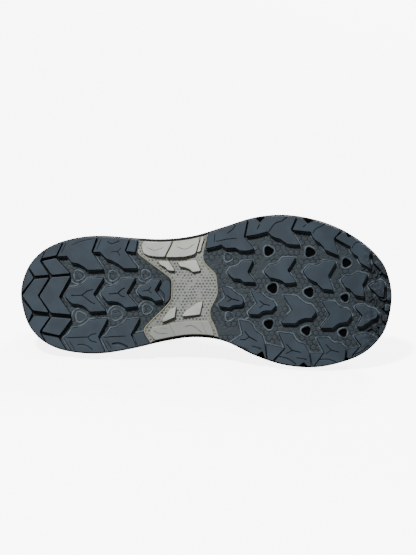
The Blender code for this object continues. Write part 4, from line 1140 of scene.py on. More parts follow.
PLATE_BLOCKS = (
    Lug(((94.4, -32.6), (98, -30.7), (104, -29.8), (110.6, -29.6), (115.8, -39.6),
      Rim(115.4, 94.6), (93, -38.2)), 2),
    Lug(((111.8, -29.6), (119, -29.6), (126, -29.9), (132, -31.3), (134.4, -32.6), (137.2, -42.2),
      Rim(136.8, 117.4), (117, -39.8)), 2),
    Lug(((135.6, -33.2), (138.2, -34.2), (139.4, -39.6), (140.8, -43), Rim(140.4, 138.8),
      (138.3, -42.4)), 2.6),
    Lug(((105.6, -26.4), (114, -26.5), (118.6, -19), (113.6, -19.2), (110.5, -22.3), (107.6, -23.4)),
      2.3),
    Lug(((120.5, -25.8), (135, -27.5), (138.5, -19), (132.2, -18), (129.8, -20.2), (125.5, -21.8),
      (122.4, -22.2)), 2.3),
    Lug(((108.6, 19), (114.8, 10.8), (119.5, 8.6), (118.4, 16.5), (109.5, 20.3)), 2.3),
    Lug(((124, 16), (126.4, 12.3), (135.3, 5.8), (139.9, 4.4), (137.8, 14.5)), 2.3),
    Lug(((101.6, 24.4), (114, 22.2), (120, 20.4), (133, 19.6), (144.2, 19.5), (146.6, 23.6), (148.6, 30),
      Rim(148, 103.6), (99, 29.6)), 3.3),
)
PLATE_GROOVES = (
    Line(((97.4, -37), (103, -34.6), (109.6, -36.8)), 2.2, 2.5),
    Line(((120, -37.6), (126.6, -35.6), (133.4, -39.4)), 2.2, 2.5),
    Line(((102, 26.5), (106, 28.9), (113, 29)), 2, 4), Line(((114.6, 22.4), (119.4, 31.6)), 1.6, 3.8),
    Line(((126, 24), (130.5, 22.9), (134.6, 24.6), (139.4, 28.6)), 2.2, 4.1),
    Line(((138.2, 19.4), (143.6, 30.6)), 1.4, 3.8), Line(((107.2, 24.8), (112.4, 25.2)), 1.6, 3.8),
)


def rounded_ring(outline: Sequence[Point], corner: float, steps: int = 3) -> list[Point]:
    """Round the corners of an outline with a bevel of its vertices.

    Args:
        outline: Points of the outline.
        corner: How far from a corner the rounding starts.
        steps: Number of steps in a corner.

    Returns:
        Points of the rounded outline.
    """
    shape = bmesh.new()
    face = shape.faces.new([shape.verts.new((x, y, 0)) for x, y in outline])
    bmesh.ops.bevel(shape, geom=list(face.verts), offset=corner, segments=steps, profile=0.5,
                    affect="VERTICES", material=-1, clamp_overlap=True)
    shape.faces.ensure_lookup_table()
    ring = [tuple(vert.co.xy) for vert in shape.faces[0].verts]
    shape.free()
    return ring


def anticlockwise(outline: Sequence[Point]) -> list[Point]:
    """Give an outline its points in anticlockwise order."""
    ring = np.asarray(outline, dtype=float)
    ahead = np.roll(ring, -1, axis=0)
    area = (ring[:, 0] * ahead[:, 1] - ahead[:, 0] * ring[:, 1]).sum()
    return list(outline) if area > 0 else list(outline)[::-1]


def widened(outline: Sequence[Point], distance: float) -> list[Point]:
    """Move each side of an anticlockwise outline outwards by a distance."""
    ring = np.asarray(outline, dtype=float)
    ahead = np.roll(ring, -1, axis=0) - ring
    ahead /= np.maximum(np.linalg.norm(ahead, axis=1), 1e-9)[:, None]
    outward = np.column_stack((ahead[:, 1], -ahead[:, 0]))
    middle = outward + np.roll(outward, 1, axis=0)
    reach = np.maximum((middle * outward).sum(axis=1), 0.8)[:, None]
    return [tuple(point) for point in ring + middle / reach * distance]


@dataclass
class Tread:
    """Shapes the flat tread, in which z is the depth below the ground."""

    inset: float
    draft: float = 0.75 * MM
    corner: float = 0.8 * MM
    edge: float = 0.55 * MM
    root: float = 1.0 * MM
    least: float = 0.25 * MM
    plinth_height: float = 0.38 * MM
    plinth_step: float = 0.03 * MM
    pitch: float = 2.5 * MM
    rim_pitch: float = 2.5

    def outline(self, items: Sequence, inset: float | None = None) -> list[Point]:
        """Turn a mapped outline into metres, with its stretches of rim filled in.

        Args:
            items: Points and stretches of rim.
            inset: Inset of the rim, where it isn't the rubber's own.

        Returns:
            Points in anticlockwise order.
        """
        inset = self.inset if inset is None else inset
        points = []
        for item in items:
            if isinstance(item, Rim):
                side = LATERAL if points[-1][1] < 0 else MEDIAL
                count = max(2, round(abs(item.end - item.start) / self.rim_pitch))
                for x in np.linspace(item.start, item.end, count) * MM:
                    points.append((float(x), PLAN.edge(x, side, inset)))
            else:
                points.append((item[0] * MM, item[1] * MM))
        return anticlockwise(points)

    def kept(self, point: Point) -> Point:
        """Keep a point of a block's root on the web."""
        low = PLAN.edge(point[0], LATERAL, self.inset)
        high = PLAN.edge(point[0], MEDIAL, self.inset)
        return point[0], min(max(point[1], low), high)

    def block(self, lug: Lug) -> BMesh:
        """Raise one block with drafted sides and a softened edge.

        Args:
            lug: The block's outline and step.

        Returns:
            Its closed shape.
        """
        ring = rounded_ring(self.outline(lug.outline, self.inset + self.draft / 2), self.corner)
        wide = [self.kept(point) for point in widened(ring, self.draft)]
        top, root = lug.step * MM, PLAN.lug_height + self.root
        shape, moved = prism(ring, top, root)
        places = {(round(x, 7), round(y, 7)): spot for (x, y), spot in zip(ring, wide)}
        for vert in moved:
            x, y = places[(round(vert.co.x, 7), round(vert.co.y, 7))]
            vert.co = (x, y, root)
        bevelled(shape, set(shape.verts) - moved, self.edge, 2)
        return shape

    def blocks(self, lugs: Sequence[Lug], *cutters: BMesh) -> BMesh:
        """Raise many blocks.

        Args:
            lugs: The blocks.
            cutters: What is cut out of them, the grooves last; they are used up.

        Returns:
            The blocks, side by side.
        """
        shape = bmesh.new()
        for lug in lugs:
            block = self.block(lug)
            for cutter in cutters:
                block = carved(block, cutter.copy(), cutter is cutters[-1])
            added(shape, block)
        for cutter in cutters:
            cutter.free()
        return shape

    def plinths(self, lugs: Sequence[Lug], width: float, cutter: BMesh | None = None) -> BMesh:
        """Low steps round the feet of the blocks, each a little higher than the last.

        Args:
            lugs: The blocks.
            width: How far a step reaches past the foot of its block.
            cutter: What is cut out of the steps; it is used up.

        Returns:
            The steps, side by side.
        """
        shape = bmesh.new()
        for k, lug in enumerate(lugs):
            ring = rounded_ring(widened(self.outline(lug.outline), width), self.corner, 2)
            spread = []
            for point in map(self.kept, ring):
                if not spread or math.dist(point, spread[-1]) > self.least:
                    spread.append(point)
            top = PLAN.lug_height - self.plinth_height - self.plinth_step * (k % 6)
            step = prism(spread, top, PLAN.lug_height + 0.5 * MM)[0]
            added(shape, carved(step, cutter.copy()) if cutter else step)
        if cutter:
            cutter.free()
        return shape

    def grooves(self, rows: Sequence[Line]) -> BMesh:
        """Cutter for many grooves, each a tapered V."""
        shape = bmesh.new()
        for row in rows:
            line = [Vector((x * MM, y * MM, 0)) for x, y in row.points]
            if row.width > 1.0:
                line = open_curve(line, 4)
            sections = []
            for k, spot in enumerate(line):
                ahead = heading(line, k)
                aside = Vector((-ahead.y, ahead.x, 0)).normalized()
                share = 0.75 if k in (0, len(line) - 1) else 1.0
                half = row.width * MM / 2 * share
                depth = row.depth * MM
                high = Vector((0, 0, -1.0 * MM))
                mouth = half * (1 + 1.0 / max(row.depth, 1.0))
                sections.append([spot + aside * mouth + high, spot - aside * mouth + high,
                                 spot + Vector((0, 0, depth))])
            added(shape, lofted(sections))
        return shape

    def slab(self, outline: Sequence[Point]) -> BMesh:
        """Web of the tread, from its outline."""
        return prism(outline, PLAN.lug_height, PLAN.lug_height + PLAN.web)[0]

    def ridge(self, line: Sequence[Point], width: float, height: float, loop: bool) -> BMesh:
        """Low raised line on the web.

        Args:
            line: Points of its middle line.
            width: Its width at the web.
            height: Its height over the web.
            loop: Whether it closes on itself.

        Returns:
            Its closed shape.
        """
        sections, count = [], len(line)
        level = PLAN.lug_height
        for k, (x, y) in enumerate(line):
            after = line[(k + 1) % count if loop else min(k + 1, count - 1)]
            before = line[(k - 1) % count if loop else max(k - 1, 0)]
            aside = Vector((before[1] - after[1], after[0] - before[0], 0)).normalized()
            spot = Vector((x, y, level))
            sections.append([spot + aside * width * a + Vector((0, 0, z)) for a, z in (
                (0.5, 0.3 * MM), (0.42, -0.5 * height), (0.18, -height), (-0.18, -height),
                (-0.42, -0.5 * height), (-0.5, 0.3 * MM))])
        return lofted(sections, loop=loop)

    def welt(self, points: Sequence[Point], width: float, height: float) -> BMesh:
        """Low raised line on the web along a smooth curve through points."""
        line = open_curve([(x, y, 0) for x, y in points], 4)
        return self.ridge([tuple(spot.xy) for spot in line], width, height, False)

    def ring_line(self, ring: Ring) -> tuple[list[Point], bool]:
        """Middle line of a ring mark, and whether it closes on itself."""
        full = ring.end - ring.start >= 360
        angles = np.radians(np.linspace(ring.start, ring.end, 28, endpoint=not full))
        radii = ring.radius * (1 + (0.10 if full else 0.0) * np.cos(3 * angles))
        return polar((ring.x * MM, ring.y * MM), angles, radii * MM), full


def run_along(start: float, end: float, side: Side, inset: float, pitch: float = 2.0) -> list:
    """Even steps along the rim of the sole.

    Args:
        start: Where it starts, in millimetres from the heel.
        end: Where it ends.
        side: Side of the shoe.
        inset: Inset of the rim.
        pitch: About two steps, in millimetres.

    Returns:
        Points in metres.
    """
    count = max(2, round(abs(end - start) / pitch))
    line = PLAN.sides(inset)[0 if side is Side.LATERAL else 1]
    total = travelled(line)
    first = np.interp(start * MM, line[:, 0], total)
    last = np.interp(end * MM, line[:, 0], total)
    places = np.linspace(first, last, count * 2)
    return [(float(np.interp(p, total, line[:, 0])), float(np.interp(p, total, line[:, 1])))
            for p in places]


def seam_line(points: Sequence[Point], inset: float, shift: float = 0.0) -> list[Point]:
    """A seam from the outer to the inner rim, in metres, moved along by a shift."""
    line = [((x + shift) * MM, y * MM) for x, y in points]
    first, last = line[0][0], line[-1][0]
    return [(first, PLAN.edge(first, LATERAL, inset)), *line[1:-1],
            (last, PLAN.edge(last, MEDIAL, inset))]


@dataclass
class Outsole:
    """The two rubber pieces of the tread, with their lugs, grooves, rings and drains."""

    shop: Workshop
    tread: Tread = field(default_factory=lambda: Tread(PLAN.outsole_inset))
    drain_share: float = 0.86
    drain_bulge: float = 0.12
    plinth: float = 1.45 * MM
    mark_width: float = 1.3 * MM
    mark_height: float = 0.5 * MM
    rim_width: float = 1.2 * MM
    rim_reach: float = 0.9 * MM
    notch_corner: float = 0.6 * MM
    patch_growth: float = 1 * MM
    over: float = 1.0 * MM
    heel_seam: float = -0.9
    forefoot_seam: float = 0.25
    seam_end: float = 0.6
    tip: float = 0.9
    toe_tip: float = 0.3
    crisp: float = 6

    def heel_outline(self) -> list[Point]:
        """Outline of the heel's web."""
        inset = self.tread.inset
        seam = seam_line(HEEL_SEAM, inset, self.heel_seam)
        lateral = run_along(self.tip, HEEL_SEAM[0][0] - self.seam_end, LATERAL, inset)
        medial = run_along(self.tip, HEEL_SEAM[-1][0] - self.seam_end, MEDIAL, inset)
        return anticlockwise([*medial[::-1], *lateral, *seam])

    def forefoot_outline(self) -> list[Point]:
        """Outline of the forefoot's web."""
        inset = self.tread.inset
        seam = seam_line(FOREFOOT_SEAM, inset, self.forefoot_seam)
        toe = PLAN.length / MM - inset / MM - self.toe_tip
        lateral = run_along(FOREFOOT_SEAM[0][0] + self.seam_end, toe, LATERAL, inset)
        medial = run_along(FOREFOOT_SEAM[-1][0] + self.seam_end, toe, MEDIAL, inset)
        return anticlockwise([*lateral, *medial[::-1], *seam[::-1]])

    def drain_ring(self, drain: Sequence[Point], growth: float = 0.0) -> list[Point]:
        """Round outline of a drain hole with three soft corners.

        Args:
            drain: Its three corners, in millimetres.
            growth: How much wider the outline is made.

        Returns:
            Points in anticlockwise order.
        """
        corners = np.array(drain) * MM
        middle = corners.mean(axis=0)
        reach = np.linalg.norm(corners - middle, axis=1).mean() * self.drain_share + growth
        turn = math.atan2(*(corners[1] - middle)[::-1])
        angles = np.linspace(0, 2 * math.pi, 27, endpoint=False)
        radii = reach * (1 + self.drain_bulge * np.cos(3 * (angles - turn)))
        return polar(middle, angles, radii)

    def marks(self, shape: BMesh, rings: Sequence[Ring]) -> None:
        """Add ring marks to the web."""
        for ring in rings:
            line, full = self.tread.ring_line(ring)
            added(shape, self.tread.ridge(line, self.mark_width, self.mark_height, full))

    def build_heel(self) -> Object:
        """Make the heel's rubber."""
        shape = self.tread.slab(self.heel_outline())
        added(shape, self.tread.blocks(HEEL_LUGS, self.tread.grooves(HEEL_GROOVES)))
        added(shape, self.tread.plinths(HEEL_LUGS[10:19], self.plinth))
        self.marks(shape, HEEL_RINGS)
        sliced(shape, self.tread.pitch)
        return self.shop.add("heel_rubber", shape, (RUBBER,), "outsole_rubber",
                             ("outsole_heel",), PLAN.settle, self.crisp)

    def build_forefoot(self) -> Object:
        """Make the forefoot's rubber."""
        holes, notches = bmesh.new(), bmesh.new()
        low, high = PLAN.lug_height - self.over, PLAN.lug_height + PLAN.web + self.over
        rims = []
        for drain in DRAINS:
            ring = self.drain_ring(drain)
            rims.append(ring)
            added(holes, prism(ring, low, high)[0])
        for notch in NOTCHES:
            ring = rounded_ring(self.tread.outline(notch), self.notch_corner)
            added(notches, prism(ring, -self.over, high)[0])
        bored = holes.copy()
        added(bored, notches.copy())
        shape = carved(self.tread.slab(self.forefoot_outline()), holes)
        shape = carved(shape, notches.copy())
        added(shape, self.tread.blocks(FOREFOOT_LUGS, notches,
                                       self.tread.grooves(FOREFOOT_GROOVES)))
        stepped = (*FOREFOOT_LUGS[:4], *FOREFOOT_LUGS[5:22])
        added(shape, self.tread.plinths(stepped, self.plinth, bored))
        for ring in rims:
            added(shape, self.tread.ridge(widened(ring, self.rim_reach), self.rim_width,
                                          self.mark_height, True))
        self.marks(shape, FOREFOOT_RINGS)
        for row in TOE_NUBS:
            added(shape, self.tread.welt([(x * MM, y * MM) for x, y in row.points],
                                         row.width * MM, row.depth * MM))
        sliced(shape, self.tread.pitch)
        return self.shop.add("forefoot_rubber", shape, (RUBBER,), "outsole_rubber",
                             ("outsole_forefoot",), PLAN.settle, self.crisp)

    def build_drains(self) -> Object:
        """Make the near-black patches behind the drain holes and the notches, painted shade inside them.
        """
        shape = bmesh.new()
        level = PLAN.lug_height + PLAN.web
        rings = [self.drain_ring(drain, self.patch_growth) for drain in DRAINS]
        for notch in NOTCHES:
            rings.append([self.tread.kept(p) for p in self.tread.outline(notch)])
        for ring in rings:
            added(shape, prism(ring, level - 0.4 * MM, level + 0.2 * MM)[0])
        return self.shop.add("drain_patches", shape, (DARK,), "midsole_foam", (), PLAN.settle)


@dataclass
class MidfootPlate:
    """Grey plate between the two rubber pieces, with its raised blocks and seam beads."""

    shop: Workshop
    tread: Tread = field(default_factory=lambda: Tread(PLAN.plate_inset, 0.7 * MM, 1.0 * MM,
                                                       0.55 * MM))
    bead_width: float = 1.2 * MM
    bead_height: float = 0.5 * MM
    crisp: float = 18

    def build(self) -> Object:
        """Make the plate."""
        inset = self.tread.inset
        rear = seam_line(HEEL_SEAM, inset, 0.25)
        front = seam_line(FOREFOOT_SEAM, inset, -0.25)
        lateral = run_along(HEEL_SEAM[0][0] + 0.8, FOREFOOT_SEAM[0][0] - 0.8, LATERAL, inset)
        medial = run_along(HEEL_SEAM[-1][0] + 0.8, FOREFOOT_SEAM[-1][0] - 0.8, MEDIAL, inset)
        shape = self.tread.slab(anticlockwise([*lateral, *front, *medial[::-1], *rear[::-1]]))
        added(shape, self.tread.blocks(PLATE_BLOCKS, self.tread.grooves(PLATE_GROOVES)))
        sliced(shape, self.tread.pitch)
        return self.shop.add("grey_plate", shape, (PLATE,), "plate", ("midfoot_plate",),
                             PLAN.settle, self.crisp)

    def build_beads(self) -> Object:
        """Make the thin beads along the two seams."""
        shape = bmesh.new()
        for seam, shift in ((HEEL_SEAM, 0.3), (FOREFOOT_SEAM, 0.0)):
            added(shape, self.tread.welt(seam_line(seam, self.tread.inset, shift),
                                         self.bead_width, self.bead_height))
        sliced(shape, self.tread.pitch)
        return self.shop.add("seam_beads", shape, (BEAD,), "plate", (), PLAN.settle)


class SideStep(NamedTuple):
    """One line round the side of the midsole."""

    rise: float      # share of the way from its underside to its deck
    inset: float     # share of the feather inset
    lip: float       # share of the lip's height over the deck


SIDE_STEPS = (
    SideStep(0.00, 0.24, 0), SideStep(0.05, 0.10, 0), SideStep(0.16, 0.0, 0),
    SideStep(0.44, 0.03, 0), SideStep(0.47, 0.06, 0), SideStep(0.50, 0.19, 0),
    SideStep(0.53, 0.23, 0), SideStep(0.60, 0.23, 0), SideStep(0.63, 0.19, 0),
    SideStep(0.66, 0.08, 0), SideStep(0.70, 0.06, 0), SideStep(0.85, 0.12, 0),
    SideStep(1.0, 0.20, 0.5), SideStep(1.0, 0.26, 0.82), SideStep(1.0, 0.36, 1.0),
    SideStep(1.0, 0.46, 0.97), SideStep(1.0, 0.53, 0.8), SideStep(1.0, 0.60, 0.3),
    SideStep(1.0, 0.66, 0.0),
)


@dataclass
class Midsole:
    """Black foam midsole with a groove round its side and a lip round the upper."""

    shop: Workshop
    stations: int = 300
    pitch: float = 3 * MM

    def settle(self, point: Vector) -> Vector:
        """Move a flat point, whose z is its rise, to its place."""
        x, y, rise = point
        low, high = PLAN.floor(x), PLAN.deck(x)
        return Vector((x, y, low + min(rise, 1.0) * (high - low) + max(rise - 1.0, 0) * PLAN.lip))

    def build(self) -> Object:
        """Make the midsole."""
        sections = []
        for step in SIDE_STEPS:
            ring = PLAN.loop(step.inset * PLAN.feather_inset, self.stations)
            sections.append([Vector((x, y, step.rise + step.lip)) for x, y in ring])
        shape = lofted(sections)
        sliced(shape, self.pitch)
        return self.shop.add("foam_midsole", shape, (FOAM,), "midsole_foam", ("midsole",),
                             self.settle)


@dataclass
class Insole:
    """Cloth-faced footbed that cups the heel."""

    shop: Workshop
    inset: float = 11.5 * MM
    thickness: float = 4 * MM
    cup: float = 3 * MM
    edge: float = 1.2 * MM
    pitch: float = 4 * MM

    def settle(self, point: Vector) -> Vector:
        """Move a flat point, whose z is its height over the deck, to its place."""
        x, y, rise = point
        lateral = abs(PLAN.edge(x, LATERAL, self.inset))
        medial = abs(PLAN.edge(x, MEDIAL, self.inset))
        share = abs(y) / max(lateral if y < 0 else medial, 1 * MM)
        heel = 1 - smooth_step((x - 60 * MM) / (90 * MM))
        lift = self.cup * heel * share ** 4 * (rise / self.thickness)
        return Vector((x, y, PLAN.deck(x) + PLAN.gap + rise + lift))

    def build(self) -> Object:
        """Make the footbed."""
        shape, moved = prism(PLAN.loop(self.inset, 200), 0.0, self.thickness)
        bevelled(shape, moved, self.edge, 3)
        sliced(shape, self.pitch)
        sliced(shape, self.pitch, 1)
        mapped(shape)
        piece = self.shop.add("footbed", shape, (FOOTBED,), "insole_foam", ("insole",),
                              self.settle)
        return piece


class Rib(NamedTuple):
    """One rib of the upper, on both sides of the shoe."""

    base: float
    top: float
    half: float
    height: float
    arc: float
    lateral: float
    medial: float


HEEL_HEIGHT, ANKLE_HEIGHT, INSTEP_HEIGHT, VAMP_HEIGHT = 97 * MM, 80 * MM, 101 * MM, 64 * MM
RIBS = (
    Rib(0, 0.040, 0, 1.000 * HEEL_HEIGHT, 30, 0.75, 0.75),
    Rib(0.045, 0.050, 0.115, 0.985 * HEEL_HEIGHT, 30, 0.50, 0.40),
    Rib(0.095, 0.090, 0.195, 0.930 * HEEL_HEIGHT, 32, 0.20, 0.05),
    Rib(0.160, 0.150, 0.245, 1.050 * ANKLE_HEIGHT, 36, 0.05, -0.10),
    Rib(0.240, 0.220, 0.268, 1.000 * ANKLE_HEIGHT, 40, 0.10, 0.10),
    Rib(0.320, 0.290, 0.275, 1.060 * ANKLE_HEIGHT, 46, 0.30, 0.70),
    Rib(0.395, 0.345, 0.225, 0.940 * INSTEP_HEIGHT, 56, 0.60, 1.20),
    Rib(0.465, 0.390, 0.170, 1.000 * INSTEP_HEIGHT, 66, 0.60, 1.40),
    Rib(0.540, 0.445, 0.141, 0.950 * INSTEP_HEIGHT, 74, 0.45, 1.10),
    Rib(0.620, 0.510, 0.128, 0.870 * INSTEP_HEIGHT, 78, 0.30, 0.60),
    Rib(0.700, 0.575, 0.115, 0.785 * INSTEP_HEIGHT, 82, 0.30, 0.35),
    Rib(0.780, 0.630, 0.102, 0.715 * INSTEP_HEIGHT, 85, 0.30, 0.30),
    Rib(0.855, 0.668, 0.083, 1.055 * VAMP_HEIGHT, 87, 0.30, 0.30),
    Rib(0.920, 0.693, 0.058, 1.025 * VAMP_HEIGHT, 88, 0.30, 0.30),
    Rib(0.970, 0.705, 0.030, 1.008 * VAMP_HEIGHT, 88, 0.30, 0.30),
    Rib(1.000, 0.709, 0, 1.000 * VAMP_HEIGHT, 88, 0.30, 0.30),
)
TOE_RIB, TURN = 15, 30


class Crease(NamedTuple):
    """One soft fold of the upper, between two places counted in ribs and shares of rise."""

    rib: float
    rise: float
    end_rib: float
    end_rise: float
    width: float     # of its trough, in millimetres
    depth: float     # in millimetres, under 0 for a ridge


CREASES = (
    Crease(10.9, 0.22, 11.3, 0.80, 7, 1.5), Crease(10.2, 0.30, 10.7, 0.74, 6, -0.7),
    Crease(9.5, 0.26, 9.9, 0.72, 7, 1.1), Crease(12.1, 0.30, 12.3, 0.72, 6, 0.8),
    Crease(19.1, 0.22, 18.7, 0.80, 7, 1.5), Crease(19.9, 0.30, 19.4, 0.74, 6, -0.7),
    Crease(20.6, 0.26, 20.1, 0.72, 7, 1.1), Crease(17.9, 0.30, 17.7, 0.72, 6, 0.8),
    Crease(2.6, 0.62, 4.4, 0.50, 6, 1.2), Crease(3.2, 0.40, 4.9, 0.30, 7, 0.9),
    Crease(27.4, 0.62, 25.6, 0.50, 6, 1.2), Crease(26.8, 0.40, 25.1, 0.30, 7, 0.9),
    Crease(5.6, 0.55, 7.4, 0.34, 8, 1.0), Crease(24.4, 0.55, 22.6, 0.34, 8, 1.0),
)


@dataclass
class UpperForm:
    """Outer surface of the upper, read at ribs from the heel and shares of their rise."""

    side_bulge: float = 6 * MM
    fold_fall: float = 1.8
    creased: bool = True

    def __post_init__(self) -> None:
        """Work out the starts, ends, arcs and bulges of the ribs, once round the shoe."""
        lateral, medial = PLAN.sides(PLAN.feather_inset)
        rows = []
        for place, index in enumerate([*range(TOE_RIB + 1), *range(TOE_RIB - 1, 0, -1)]):
            rib, outer = RIBS[index], place <= TOE_RIB
            line = lateral if outer else medial
            x = line[0][0] + rib.base * (line[-1][0] - line[0][0])
            y = float(np.interp(x, line[:, 0], line[:, 1]))
            bulge = (rib.lateral if outer else rib.medial) * self.side_bulge
            rows.append((x, y, PLAN.deck(x) + PLAN.gap, rib.top * PLAN.length,
                         (-1 if outer else 1) * rib.half * PLAN.ball_width, rib.height,
                         math.radians(rib.arc), bulge))
        self.table = np.array(rows)
        self.folds = [(self.smooth([row.rib], row.rise)[0],
                       self.smooth([row.end_rib], row.end_rise)[0], row) for row in CREASES]

    def smooth(self, ribs: Sequence[float], rise: float) -> np.ndarray:
        """Places on the outside of the upper, with no creases."""
        ribs = np.asarray(ribs, dtype=float)
        rows = closed_curve(self.table, ribs)
        step = 0.01
        ahead = closed_curve(self.table, ribs + step) - closed_curve(self.table, ribs - step)
        outward = np.column_stack((ahead[:, 1], -ahead[:, 0]))
        outward /= np.linalg.norm(outward, axis=1)[:, None]
        foot, low, head, high, arc, bulge = np.split(rows, (2, 3, 5, 6, 7), axis=1)
        run = (1 - np.cos(arc * rise)) / (1 - np.cos(arc))
        climb = np.sin(arc * rise) / np.sin(arc)
        swell = bulge * np.sin(math.pi * np.clip(climb, 0, 1) ** 0.8)
        plan = foot + (head - foot) * run + outward * swell
        return np.column_stack((plan, low + (high - low) * climb))

    def normals(self, ribs: Sequence[float], rise: float) -> np.ndarray:
        """Directions square to the outside of the upper."""
        step = 0.004
        ribs = np.asarray(ribs, dtype=float)
        around = self.smooth(ribs + step, rise) - self.smooth(ribs - step, rise)
        upward = self.smooth(ribs, min(rise + step, 1.0)) - self.smooth(ribs, rise - step)
        normal = np.cross(around, upward)
        return normal / np.linalg.norm(normal, axis=1)[:, None]

    def fold(self, spots: np.ndarray) -> np.ndarray:
        """How far the creases press each place inwards."""
        press = np.zeros(len(spots))
        for start, end, row in self.folds:
            run = end - start
            share = np.clip((spots - start) @ run / (run @ run), 0, 1)
            away = np.linalg.norm(spots - start - share[:, None] * run, axis=1)
            press += row.depth * MM * np.exp(-(away / (row.width * MM) * self.fold_fall) ** 2)
        return press

    def at(self, ribs: Sequence[float], rise: float, lift: float = 0.0) -> np.ndarray:
        """Places at a distance off the outside of the upper.

        Args:
            ribs: Ribs counted from the heel by the outer side.
            rise: Share of their rise.
            lift: Distance off the surface, outwards.

        Returns:
            One row of x, y and z for each rib.
        """
        spots = self.smooth(ribs, rise)
        press = self.fold(spots) if self.creased else 0.0
        return spots + self.normals(ribs, rise) * np.reshape(lift - press, (-1, 1))

    def spot(self, rib: float, rise: float, lift: float = 0.0) -> Vector:
        """One place at a distance off the outside of the upper."""
        return Vector(self.at([rib], rise, lift)[0])

    def square(self, rib: float, rise: float) -> Vector:
        """Direction square to the outside of the upper at one place."""
        return Vector(self.normals([rib], rise)[0])


def collar_share(rib: float, rise: float) -> float:
    """Share of the collar's extra padding at a place on the upper."""
    from_heel = min(rib, TURN - rib)
    return smooth_step((6.4 - from_heel) / 1.9) * smooth_step((rise - 0.62) / 0.25)


class Overlay(NamedTuple):
    """One overlay on the upper, between two ribs and two shares of their rise."""

    name: str
    node: str
    first: float
    last: float
    low: float
    high: float
    end: float       # share of the rise that it keeps at its two ends


OVERLAYS = (
    Overlay("toe_cap_film", "toe_cap", TOE_RIB - 3, TOE_RIB + 3, 0.03, 0.40, 0.10),
    Overlay("heel_counter_film", "heel_counter", -4.5, 4.5, 0.03, 0.55, 0.16),
    Overlay("eyestay_film", "eyestay", 7, TURN - 7, 0.80, 0.985, 0.985),
)


class Band(NamedTuple):
    """One welded band down the quarter, from a rib and rise to another, its width in millimetres."""

    top: float
    high: float
    foot: float
    low: float
    width: float


BANDS = (
    Band(7.9, 0.80, 6.0, 0.08, 6), Band(8.9, 0.80, 7.6, 0.08, 5),
    Band(9.9, 0.80, 9.3, 0.08, 5), Band(10.9, 0.80, 11.0, 0.08, 5),
    Band(6.9, 0.86, 4.6, 0.30, 5),
)


